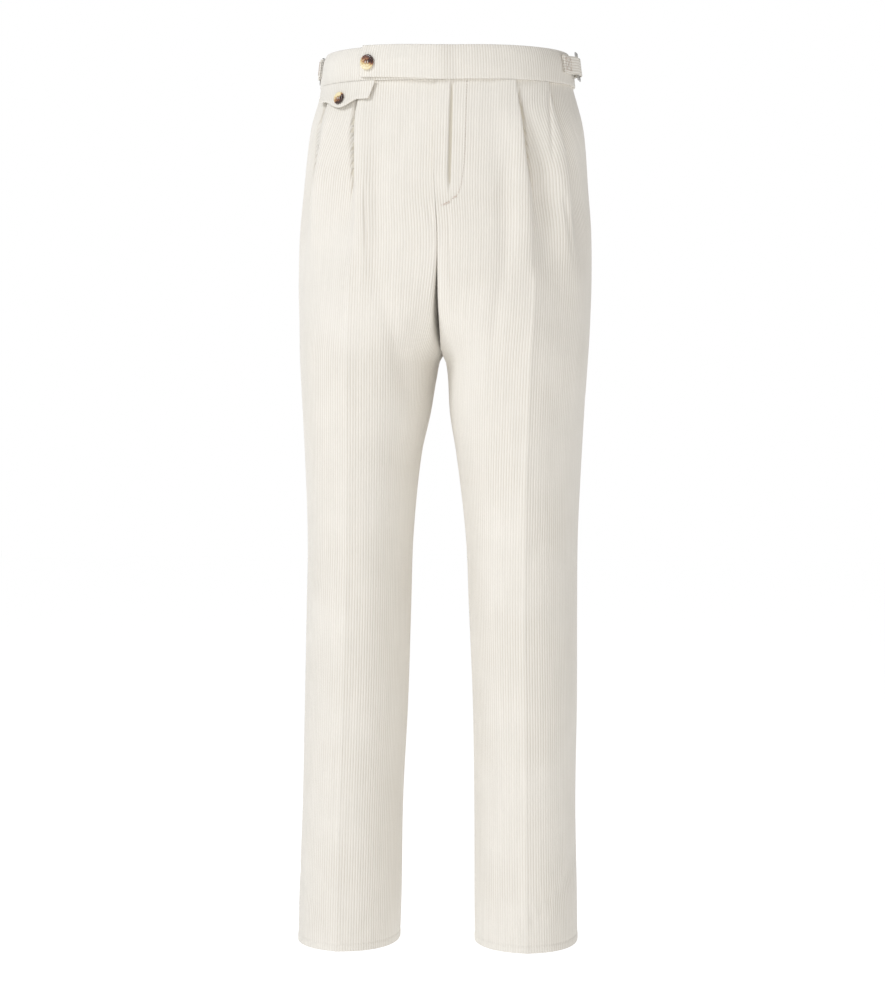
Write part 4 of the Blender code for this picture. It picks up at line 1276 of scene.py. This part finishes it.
# %% Tortoiseshell, thread and metal
SHELL_COLOURS = ((0.30, (0.035, 0.011, 0.007)), (0.42, (0.16, 0.050, 0.026)), (0.53, (0.40, 0.20, 0.09)),
                 (0.63, (0.72, 0.56, 0.28)), (0.78, (0.82, 0.73, 0.47)))


def tortoiseshell_finish(name, pale_towards):
    """Honey and near-black blotches, palest towards one side of the blank."""
    shell = new_finish(name, (0.30, 0.13, 0.04), 0.22)
    shader = shader_of(shell)
    set_inputs(shader, Coat_Weight=0.5, Coat_Roughness=0.12)
    place = object_place(shell)
    towards = add_node(shell, "ShaderNodeVectorMath", operation="DOT_PRODUCT")
    wire(shell, place, towards.inputs[0])
    towards.inputs[1].default_value = pale_towards
    blotches = noise(shell, place, 190.0, 2.0, 0.5)
    amount = maths(shell, "ADD", towards.outputs["Value"], blotches)
    ramp = add_node(shell, "ShaderNodeValToRGB")
    wire(shell, amount, ramp.inputs[0])
    for k, (at, colour) in enumerate(SHELL_COLOURS):
        stop = ramp.color_ramp.elements[k] if k < 2 else ramp.color_ramp.elements.new(at)
        stop.position = at
        stop.color = (*colour, 1.0)
    wire(shell, ramp.outputs["Color"], shader.inputs["Base Color"])


def thread_finish(name, pale, deep):
    """Twisted cotton thread, a little uneven in colour."""
    thread = new_finish(name, pale, 0.8)
    shader = shader_of(thread)
    set_inputs(shader, Sheen_Weight=0.2)
    twist = noise(thread, object_place(thread), 900.0, 2.0)
    wire(thread, tint_by(thread, twist, deep, pale), shader.inputs["Base Color"])


def nickel_finish():
    """Brushed nickel plate, duller where fingers and cloth have rubbed it."""
    nickel = new_finish("brushed nickel", (0.62, 0.61, 0.59), 0.3, 1.0)
    rubbed = spread_out(nickel, noise(nickel, object_place(nickel), 240.0, 4.0), To_Min=0.22, To_Max=0.42)
    wire(nickel, rubbed, shader_of(nickel).inputs["Roughness"])


tortoiseshell_finish("tortoiseshell, waist", (-38.0, -46.0, 0.0))
tortoiseshell_finish("tortoiseshell, pocket", (-48.0, 44.0, 0.0))
thread_finish("ivory thread", (0.72, 0.66, 0.58), (0.58, 0.51, 0.44))
thread_finish("rose thread", (0.69, 0.61, 0.55), (0.60, 0.51, 0.45))
nickel_finish()
print("finishes:", sorted(FINISHES))

# %% [markdown]
# ## Turned buttons
# A maker turns the blank on a lathe, so a half profile swept round gives the body: a table of radius and
# height. Cutting the holes with a boolean would leave ragged rings. Here the fine rings of the sunk face
# simply drop where a hole is.

# %% The buttons
BUTTONS = (
    ("waist_button", 18.0, 0.5, -82.0, BAND_FACE + SEAM_GAP + BAND_WALL + BAND_SWELL, "tortoiseshell, waist"),
    ("pocket_button", 15.0, -39.0, FLAP_BUTTON, BAND_PROUD + FLAP_OFF + CLOTH - 0.3, "tortoiseshell, pocket"),
)
# Share of the radius and height above the cloth, from the edge of the sunk face round to the back.
BUTTON_RIM = ((0.62, 2.05), (0.67, 2.5), (0.73, 2.85), (0.80, 3.0), (0.87, 2.92), (0.93, 2.6), (0.975, 2.1),
              (1.0, 1.5), (0.985, 0.95), (0.93, 0.45), (0.84, 0.12), (0.7, 0.0), (0.35, 0.0))
SUNK_FACE = 1.9
SUNK_SHARE = 0.62                   # of the radius that the sunk face takes
SUNK_RINGS = 22
HOLE_AWAY = 1.55                    # of a hole's middle from both axes
HOLE_RADIUS = 0.85
HOLE_DEPTH = 1.5
BUTTON_STEPS = 72


def turned_button(name, diameter, finish):
    """Rings of points from the middle of the face to the middle of the back."""
    rings = [(SUNK_SHARE * k / SUNK_RINGS, SUNK_FACE) for k in range(1, SUNK_RINGS)] + list(BUTTON_RIM)
    points = [(0.0, 0.0, SUNK_FACE)]
    holes = [(x * HOLE_AWAY, y * HOLE_AWAY) for x in (-1, 1) for y in (-1, 1)]
    for share, height in rings:
        radius = share * diameter / 2
        for k in range(BUTTON_STEPS):
            angle = 2 * math.pi * k / BUTTON_STEPS
            x, y, z = radius * math.cos(angle), radius * math.sin(angle), height
            if share < 0.6:
                nearest = min(math.hypot(x - hx, y - hy) for hx, hy in holes)
                z -= HOLE_DEPTH * (1 - float(ease((nearest - HOLE_RADIUS + 0.15) / 0.3)))
            points.append((x, y, z))
    points.append((0.0, 0.0, 0.0))
    faces = []
    for k in range(BUTTON_STEPS):
        after = (k + 1) % BUTTON_STEPS
        faces.append((0, 1 + k, 1 + after))
        for ring in range(len(rings) - 1):
            a, b = 1 + ring * BUTTON_STEPS, 1 + (ring + 1) * BUTTON_STEPS
            faces.append((a + k, b + k, b + after, a + after))
        last = 1 + (len(rings) - 1) * BUTTON_STEPS
        faces.append((last + k, len(points) - 1, last + after))
    return make_mesh(name, points, faces, [0] * len(faces), None, (finish,), 40.0)


for name, diameter, *_ in BUTTONS:
    print(name, diameter, "mm across, with a sunk face of", round(diameter * SUNK_SHARE, 1), "mm")

# %% [markdown]
# ## Thread
# A button is sewn on with a few strands from hole to hole, and a seam is a row of short lengths of thread.
# Both are closed tubes with six sides, thinner at the ends where they sink into the cloth. A curve with a
# round bevel would do as well, but a mesh needs no more steps to be exported.

# %% Thread and the buttons' sewing
def tube(points, radius, sides=6):
    """Points and faces of a closed tube that tapers to its ends."""
    path = np.array(points, dtype=float)
    ahead = np.gradient(path, axis=0)
    ahead /= np.linalg.norm(ahead, axis=1)[:, None]
    guide = np.array([0.0, 0.0, 1.0]) if abs(ahead[0, 2]) < 0.8 else np.array([1.0, 0.0, 0.0])
    verts, faces = [], []
    for k, (point, direction) in enumerate(zip(path, ahead)):
        across = np.cross(direction, guide)
        across /= np.linalg.norm(across)
        up = np.cross(across, direction)
        size = radius * (0.45 if k in (0, len(path) - 1) else 1.0)
        for j in range(sides):
            angle = 2 * math.pi * j / sides
            verts.append(point + size * (math.cos(angle) * across + math.sin(angle) * up))
    for k in range(len(path) - 1):
        for j in range(sides):
            a, b = k * sides + j, k * sides + (j + 1) % sides
            faces.append((a, b, b + sides, a + sides))
    faces.append(tuple(range(sides)))
    faces.append(tuple(reversed(range(len(verts) - sides, len(verts)))))
    return verts, faces


def many_tubes(name, paths, radius, finish):
    """One mesh of separate lengths of thread."""
    points, faces = [], []
    for path in paths:
        verts, rings = tube(path, radius)
        faces += [tuple(index + len(points) for index in ring) for ring in rings]
        points += verts
    obj = make_mesh(name, points, faces, [0] * len(faces), None, (finish,), 70.0)
    print(name, "has", len(paths), "lengths of thread")
    return obj


def button_thread(name):
    """Two bars of three strands, each from hole to hole."""
    strand = ((-1.0, 0.0), (-0.8, 0.75), (-0.3, 1.0), (0.3, 1.0), (0.8, 0.75), (1.0, 0.0))
    paths = [[(side * HOLE_AWAY + beside, HOLE_AWAY * share, SUNK_FACE - 0.6 + 1.05 * rise)
              for share, rise in strand] for side in (-1, 1) for beside in (-0.42, 0.0, 0.42)]
    return many_tubes(name, paths, 0.24, "ivory thread")


short_tube = tube([(0.0, 0.0, 0.0), (0.0, 0.0, 1.0), (0.0, 0.0, 2.0)], 0.5)
print("a tube along three points has", len(short_tube[0]), "vertices and", len(short_tube[1]), "faces")

# %% [markdown]
# ## Putting the buttons on
# A button stands on the face of its cloth, and its thread holds it there. Both are built flat at the origin,
# so one frame on the cloth puts both in place: one axis runs round the waist, one up and one outward.

# %% Both buttons
def waist_frame(height, position, lift):
    """Axes on the cloth at the waist: x round it to the wearer's left, y up, z outward."""
    along = Vector(around_waist(height, position + 1.0, lift) - around_waist(height, position - 1.0, lift))
    up = Vector(around_waist(height + 2.0, position, lift) - around_waist(height - 2.0, position, lift))
    along.normalize()
    out = along.cross(up).normalized()
    matrix = Matrix((along, out.cross(along), out)).transposed().to_4x4()
    matrix.translation = Vector(around_waist(height, position, lift) * MM)
    return matrix


buttons, button_threads = {}, {}
for name, diameter, height, position, face, finish in BUTTONS:
    buttons[name] = turned_button(name + "_turned", diameter, finish)
    button_threads[name] = button_thread(name + "_thread")
    for obj in (buttons[name], button_threads[name]):
        obj.matrix_world = waist_frame(height, position, face + SEAM_GAP)

# %% [markdown]
# ## Side adjusters
# At each side a short doubled strap is sewn to the band and holds a slide buckle. A longer strap comes from
# the back, goes under the rear bar, round the middle one and back over the outside. Each strap is a ribbon
# swept along that path, on edge, with its ribs running lengthwise.

# %% Paths of the straps
# Side, the buckle's middle behind the side seam, length of the short strap, and the buckle's stand-off.
ADJUSTERS = ((1, -8.0, 30.0, 3.6), (-1, 16.0, 40.0, 1.0))
ADJUSTER_HEIGHT = 3.5
STRAP_WIDTH = 21.0
STRAP_WALL = 1.4
STRAP_CLEAR = 0.45
STRAP_LENGTH = 96.0
STRAP_RETURN = 46.0
STRAP_POINT = 9.0
BUCKLE_PLATE = 1.6
BUCKLE_BAR = 3.0
HOOK_ROOM = 0.8                     # between a bar and the cloth that turns round it
HOOK_ALONG = BUCKLE_BAR / 2 + HOOK_ROOM + STRAP_WALL / 2
HOOK_OUT = BUCKLE_PLATE / 2 + HOOK_ROOM + STRAP_WALL / 2


def beside_band(behind, side, up, lift):
    """A point behind the side seam and up from the straps' mid-height, flat against the lower band."""
    position = side * (half_waist()[0] + behind)
    low = around_waist(ADJUSTER_HEIGHT - 14.0, position, lift)
    high = around_waist(ADJUSTER_HEIGHT + 2.0, position, lift)
    return low + (high - low) * (up + 14.0) / 16.0


def half_turn(bar, plate, way):
    """Cloth going from under a bar to over it, on its rear side (way 1) or front side (-1)."""
    angles = [math.radians(-90.0 + 30.0 * k) for k in range(7)]
    return [(bar + way * HOOK_ALONG * math.cos(a), plate + HOOK_OUT * math.sin(a)) for a in angles]


def anchor_path(bar, plate, base, length):
    """Two layers sewn to the band, looped round the buckle's front bar."""
    lower = base + STRAP_WALL / 2
    upper = lower + STRAP_WALL + SEAM_GAP
    start = bar - length
    return ([(start, lower), (start + 12, lower), (bar - 12, lower),
             (bar - 5, (lower + plate - HOOK_OUT) / 2)] + half_turn(bar, plate, 1)
            + [(bar - 2.6, plate + HOOK_OUT), (bar - 8, (upper + plate + HOOK_OUT) / 2), (bar - 14, upper),
               (start + 12, upper), (start, upper)])


def strap_path(bars, plate, base):
    """From the back, under the rear bar, round the middle one, and back over the outside."""
    lower = base + STRAP_WALL / 2
    upper = lower + STRAP_WALL + SEAM_GAP
    end, rear = bars[1] + STRAP_LENGTH, bars[2]
    flat = [(end + (rear + 12 - end) * share, lower) for share in (0.0, 0.2, 0.4, 0.6, 0.8, 1.0)]
    return (flat + [(rear + 3, lower + 0.4 * (plate - HOOK_OUT - lower))] + half_turn(bars[1], plate, -1)
            + [(rear + 2, plate + HOOK_OUT), (rear + 9, (upper + plate + HOOK_OUT) / 2)]
            + [(rear + 17, upper + 0.2)]
            + [(rear + STRAP_RETURN - short, upper) for short in (16, STRAP_POINT, 4, 0)])


for side, middle, anchor_length, stand_off in ADJUSTERS:
    print(side_name(side), "buckle's middle lies", middle, "mm behind the side seam")

# %% [markdown]
# ## Ribbons
# A strap is one strip of cloth bent along its path. Points are put on a smooth curve through the path's
# corners, and the strip's two faces lie half a thickness to each side. Its place up and down the band
# follows the band's own slope, so both straps lie flat on it.

# %% A strap along its path
def smooth_path(path, steps=4):
    """Extra points on a smooth curve through a path's own, with the place of each along it."""
    path = np.array(path, dtype=float)
    out, places = [], []
    for k in range(len(path) - 1):
        before = path[k - 1] if k else path[k] - (path[k + 1] - path[k])
        after = path[k + 2] if k + 2 < len(path) else path[k + 1] + (path[k + 1] - path[k])
        reach = np.linalg.norm(path[k + 1] - path[k])
        lead = (path[k + 1] - before) / max(np.linalg.norm(path[k + 1] - before), 1e-6) * reach
        leave = (after - path[k]) / max(np.linalg.norm(after - path[k]), 1e-6) * reach
        for t in np.arange(steps) / steps:
            out.append(hermite(t, path[k], lead, path[k + 1], leave))
            places.append(k + t)
    return np.array(out + [path[-1]]), np.array(places + [len(path) - 1.0])


def ribbon(name, side, path, half_widths):
    """A strap on edge along a path of (distance behind the side seam, lift), at mid-thickness."""
    line, places = smooth_path(path)
    halves = np.interp(places, range(len(half_widths)), half_widths)
    ahead = np.gradient(line, axis=0)
    ahead /= np.linalg.norm(ahead, axis=1)[:, None]
    run = run_along(*line.T)
    edge = STRAP_WIDTH / 2

    def place(offset, k):
        full = min(edge_fullness(edge - abs(offset), STRAP_WALL),
                   edge_fullness(min(run[k], run[-1] - run[k]) + 0.1, STRAP_WALL))
        thick = STRAP_WALL / 2 * full + pile_at(offset, full, 0.7)
        return [beside_band(line[k, 0] + shift * ahead[k, 1], side, offset * halves[k] / edge,
                            line[k, 1] - shift * ahead[k, 0])
                for shift in (thick, -thick)] + [(offset / WALE, run[k] / WALE)]

    across = [-edge, -edge + 0.25] + [k * RIB_STEP for k in range(-12, 13)] + [edge - 0.25, edge]
    return cloth_wall(name, across, range(len(line)), place, "corduroy"), float(run[-1])


test_path, _ = smooth_path([(0.0, 0.0), (10.0, 0.0), (10.0, 10.0)])
print("a path of two 10 mm legs is", round(float(run_along(*test_path.T)[-1]), 1), "mm long when smoothed")

# %% [markdown]
# ## Slide buckles and their stitches
# The buckle is stamped from plate: an outer frame and a middle bar, which leave two slots. It is built as a
# grid of cells with the slots left out, and a bevel rounds its edges as tumbling does in the workshop. A
# square of stitches with a cross holds the short strap to the band.

# %% Buckles and box stitches
BUCKLE_HEIGHT = 33.0
BUCKLE_WIDTH = 22.0
BUCKLE_ROUND = 1.1                  # from a side of the plate to the points that keep its corner round
BUCKLE_CUT = 0.75                   # off each corner
BOX_STITCH = 2.3                    # length of a stitch and its gap in the square


def slide_buckle(name, side, bars, plate):
    """A stamped plate with two slots, round at its corners, bent to the waist."""
    bar, half = BUCKLE_BAR / 2, BUCKLE_HEIGHT / 2
    columns = [bars[0] - bar, bars[0] - bar + BUCKLE_ROUND, bars[0] + bar, bars[1] - bar, bars[1] + bar,
               bars[2] - bar, bars[2] + bar - BUCKLE_ROUND, bars[2] + bar]
    rows = [-half, -half + BUCKLE_ROUND, -half + BUCKLE_BAR, 0.0,
            half - BUCKLE_BAR, half - BUCKLE_ROUND, half]
    width, depth = len(columns), len(rows)
    points, faces = [], []
    for out in (BUCKLE_PLATE / 2, -BUCKLE_PLATE / 2):
        for i, row in enumerate(rows):
            for k, column in enumerate(columns):
                cut = BUCKLE_CUT if i in (0, depth - 1) and k in (0, width - 1) else 0.0
                points.append(beside_band(column + cut * (1 if k == 0 else -1), side,
                                          row - math.copysign(cut, row), plate + out))
    slots = {(i, k) for i in (2, 3) for k in (2, 4)}
    cells = {(i, k) for i in range(depth - 1) for k in range(width - 1)} - slots
    for i, k in sorted(cells):
        ring = (i * width + k, i * width + k + 1, (i + 1) * width + k + 1, (i + 1) * width + k)
        faces += [ring, tuple(index + width * depth for index in ring)]
        for j, beside in enumerate(((i - 1, k), (i, k + 1), (i + 1, k), (i, k - 1))):
            if beside not in cells:
                a, b = ring[j], ring[(j + 1) % 4]
                faces.append((a, b, b + width * depth, a + width * depth))
    obj = make_mesh(name, points, faces, [0] * len(faces), None, ("brushed nickel",), 40.0)
    bevel = obj.modifiers.new("worn edges", "BEVEL")
    bevel.width = 0.5 * MM
    bevel.segments = 3
    bevel.limit_method = "ANGLE"
    return obj


def stitched_box(name, side, start, base):
    """A square of stitches with a cross in it, that holds the short strap to the band."""
    lift = base + 2 * STRAP_WALL + SEAM_GAP + 0.3
    box = [(start + 2.5, -7.5), (start + 16.5, -7.5), (start + 16.5, 7.5), (start + 2.5, 7.5)]
    lines = [(box[k], box[(k + 1) % 4]) for k in range(4)] + [(box[0], box[2]), (box[1], box[3])]
    stitch = ((0.08, -0.15), (0.3, 0.25), (0.7, 0.25), (0.92, -0.15))
    paths = []
    for (x0, y0), (x1, y1) in lines:
        count = int(round(math.hypot(x1 - x0, y1 - y0) / BOX_STITCH))
        for k in range(count):
            paths.append([beside_band(x0 + (x1 - x0) * (k + share) / count, side,
                                      y0 + (y1 - y0) * (k + share) / count, lift + rise)
                          for share, rise in stitch])
    return many_tubes(name, paths, 0.3, "rose thread")


print("a buckle is", BUCKLE_WIDTH, "by", BUCKLE_HEIGHT, "mm, with bars of", BUCKLE_BAR, "mm")

# %% [markdown]
# ## Putting the adjusters together
# Both sides have the same pieces. Only the buckle's place, the short strap's length and how far the buckle
# stands off differ, as they do on trousers that have been worn and let out.

# %% Both adjusters
adjusters = {}
for side, middle, anchor_length, stand_off in ADJUSTERS:
    name = side_name(side)
    base = BAND_FACE + STRAP_CLEAR
    plate = base + STRAP_WALL + SEAM_GAP + stand_off + BUCKLE_PLATE / 2
    spread, half = (BUCKLE_WIDTH - BUCKLE_BAR) / 2, STRAP_WIDTH / 2
    bars = (middle - spread, middle, middle + spread)
    anchor = anchor_path(bars[0], plate, base, anchor_length)
    strap = strap_path(bars, plate, base)
    tapered = [half] * (len(strap) - 2) + [half - 2.5, half - 6.0]
    adjusters[side] = {
        "anchor": ribbon("adjuster_anchor_" + name + "_cloth", side, anchor, [half] * len(anchor)),
        "strap": ribbon("adjuster_strap_" + name + "_cloth", side, strap, tapered),
        "buckle": slide_buckle("adjuster_buckle_" + name + "_metal", side, bars, plate),
        "box": stitched_box("adjuster_anchor_" + name + "_stitching", side, bars[0] - anchor_length, base),
    }
    short, long = (round(adjusters[side][part][1], 1) for part in ("anchor", "strap"))
    print(name, "straps are", short, "and", long, "mm long")

# %% [markdown]
# ## Fly stitching
# The fly's facing is held by a row of stitches that runs down beside it and curves in to the centre seam.
# Two short bars on the curve stop it from tearing. Each stitch is a length of thread that sinks at its ends.

# %% Stitches on the fly
# Height and distance from the centre line, of the row and of both ends of each bar.
FLY_ROW = ((-22, 34.5), (-60, 34.5), (-90, 34.4), (-110, 34.0), (-126, 33.0), (-138, 31.4), (-148, 28.6),
           (-154, 24.5), (-158, 19.5), (-161.5, 13.5), (-164.5, 7.5), (-167, 2.5))
FLY_BARS = (((-154.8, 26.0), (-156.4, 21.0)), ((-161.2, 17.8), (-164.6, 8.4)))
STITCH_LENGTH = 2.5
STITCH_GAP = 0.7
THREAD_RADIUS = 0.26
# Share of a length of thread and its rise off the cloth: each end sinks in.
STITCH_ARCH = ((0.0, -0.1), (0.25, 0.45), (0.75, 0.45), (1.0, -0.1))
BAR_ARCH = ((0.0, -0.1), (0.12, 0.5), (0.5, 0.6), (0.88, 0.5), (1.0, -0.1))


def front_spot(side, height, x, lift):
    """A place on a front between the centre and the first pleat, lifted off the cloth."""
    row = front_layout(side, height)
    start = 0.0 if height > CROTCH else HALF_GAP
    at = row.total - distance_at(side, height, True, x, row.reach) - start
    around = front_shape(side, height, np.array([at - 0.5, at, at + 0.5]))
    below = front_shape(side, height - 1.0, np.array([at]))[0]
    normal = np.cross(around[2] - around[0], below - around[1]) * -side
    return settle_fork((around[1] + normal / np.linalg.norm(normal) * lift)[None, :], height)[0]


def fly_stitches():
    """Stitches along the row, and bars of three threads laid close together."""
    curve, _ = smooth_path(FLY_ROW, 12)
    run = run_along(*curve.T)
    paths = []
    for k in range(int(run[-1] / (STITCH_LENGTH + STITCH_GAP))):
        begin = k * (STITCH_LENGTH + STITCH_GAP)
        paths.append([front_spot(1, *(float(np.interp(begin + STITCH_LENGTH * share, run, line))
                                      for line in curve.T), lift)
                      for share, lift in STITCH_ARCH])
    for (top, x_top), (bottom, x_bottom) in FLY_BARS:
        for beside in (-1.5 * THREAD_RADIUS, 0.0, 1.5 * THREAD_RADIUS):
            paths.append([front_spot(1, top + (bottom - top) * share + beside,
                                     x_top + (x_bottom - x_top) * share, lift)
                          for share, lift in BAR_ARCH])
    return many_tubes("fly_stitching", paths, THREAD_RADIUS, "rose thread")


fly_stitching = fly_stitches()

# %% [markdown]
# ## Floor
# A plain pale floor far below catches a little light and throws it back up under the hems. It is scenery,
# so it is staged and isn't part of the trousers.

# %% Floor
WHITE = (1.0, 1.0, 1.0)
FLOOR_REACH = 12.0                  # metres, as are all measures of the scenery
FLOOR_LEVEL = -1.5


def plain_floor():
    mesh = bpy.data.meshes.new("floor")
    corners = [(x * FLOOR_REACH, y * FLOOR_REACH, FLOOR_LEVEL)
               for x, y in ((-1, -1), (1, -1), (1, 1), (-1, 1))]
    mesh.from_pydata(corners, [], [(0, 1, 2, 3)])
    material = new_finish("pale floor", (0.45, 0.45, 0.45), 0.9)
    set_inputs(shader_of(material), Emission_Color=(*WHITE, 1.0), Emission_Strength=0.8)
    mesh.materials.append(material)
    return add_object("floor", mesh)


plain_floor()
print("the floor lies", round(HEM * MM - FLOOR_LEVEL, 2), "m below the hems")

# %% [markdown]
# ## Lights and room
# A large soft light from the upper left falls at a slant, which shows the ribs and folds. A weak warm one
# from low in front opens the shadows, and one from behind models the back. The room is white: it lights the
# cloth weakly from all sides, and the camera sees it as plain white paper.

# %% Lights and room
# Name, place, what it points at, width, power and colour.
LIGHTS = (
    ("key light", (-2.4, -2.15, 2.0), (0.0, 0.0, -0.4), 1.3, 70.0, (0.955, 0.975, 1.0)),
    ("fill light", (0.95, -3.4, -0.6), (0.0, 0.0, -0.7), 2.2, 25.5, (1.0, 0.94, 0.865)),
    ("back light", (-1.7, 3.2, 1.0), (0.0, 0.0, -0.5), 1.8, 26.0, WHITE),
)
ROOM_LIGHT = 0.40


def soft_light(name, place, target, size, power, colour):
    light = bpy.data.lights.new(name, "AREA")
    light.shape = "DISK"
    light.size = size
    light.energy = power
    light.color = colour
    obj = add_object(name, light)
    obj.location = place
    obj.rotation_euler = (Vector(target) - Vector(place)).to_track_quat("-Z", "Y").to_euler()


def white_room():
    """A world that lights the part weakly, and that the camera sees as plain white."""
    world = bpy.data.worlds.new("white room")
    world.use_nodes = True
    nodes = world.node_tree.nodes
    room, backdrop = nodes["Background"], nodes.new("ShaderNodeBackground")
    set_inputs(room, Color=(*WHITE, 1.0), Strength=ROOM_LIGHT)
    set_inputs(backdrop, Color=(*WHITE, 1.0), Strength=1.0)
    seen, choice = nodes.new("ShaderNodeLightPath"), nodes.new("ShaderNodeMixShader")
    for k, source in enumerate((seen.outputs["Is Camera Ray"], room.outputs[0], backdrop.outputs[0])):
        wire(world, source, choice.inputs[k])
    wire(world, choice.outputs[0], nodes["World Output"].inputs["Surface"])
    return world


for light in LIGHTS:
    soft_light(*light)
scene = bpy.context.scene
scene.world = white_room()
scene.view_settings.view_transform = "Standard"
print(len(LIGHTS), "lights, of", [light[4] for light in LIGHTS], "W")

# %% [markdown]
# ## Camera
# A long lens from more than two metres keeps the legs parallel. It stands a little below the middle of the
# garment's height and to the wearer's left, and looks slightly down.

# %% Camera
CAMERA_PLACE = (0.2656, -2.3853, -0.3976)
CAMERA_DOWN = 2.67                  # degrees
CAMERA_TURN = 6.5
CAMERA_LENS = 71.01

camera = bpy.data.cameras.new("camera")
camera.lens = CAMERA_LENS
camera.sensor_width = 36.0
scene.camera = add_object("camera", camera)
scene.camera.location = CAMERA_PLACE
scene.camera.rotation_euler = (math.radians(90.0 - CAMERA_DOWN), 0.0, math.radians(CAMERA_TURN))
print("camera", round(camera.lens, 1), "mm, at", [round(value, 2) for value in CAMERA_PLACE])

# %% [markdown]
# ## What stands for what
# Each dressed piece rides on the one body and takes the place of its solid, which is hidden. The stitches
# and the buttons' thread stand for no solid.


def declare(obj, slot, *nodes):
    """Puts a piece on the one body and hides the solids it stands for. slot is not used."""
    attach(obj, "root")
    if nodes:
        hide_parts(*nodes)


for side in (-1, 1):
    name = side_name(side)
    declare(fronts[side], "corduroy", "front_" + name)
    declare(backs[side], "corduroy", "back_" + name)
    declare(bands[side], "corduroy", "waistband_" + name)
    band_length = sum(half_waist()) + (TAB_LENGTH if side > 0 else 0.0)
    for part, node in (("anchor", "adjuster_anchor_"), ("strap", "adjuster_strap_")):
        obj, length = adjusters[side][part]
        declare(obj, "corduroy", node + name)
    declare(adjusters[side]["buckle"], "nickel", "adjuster_buckle_" + name)
    declare(adjusters[side]["box"], "corduroy")
declare(flap, "corduroy", "coin_pocket_flap")
declare(fly_stitching, "corduroy")
for name in buttons:
    declare(buttons[name], "tortoiseshell", name)
    declare(button_threads[name], "corduroy")

print(len(fronts) + len(backs) + len(bands) + 1 + 2 * len(adjusters), "pieces of cloth are declared")
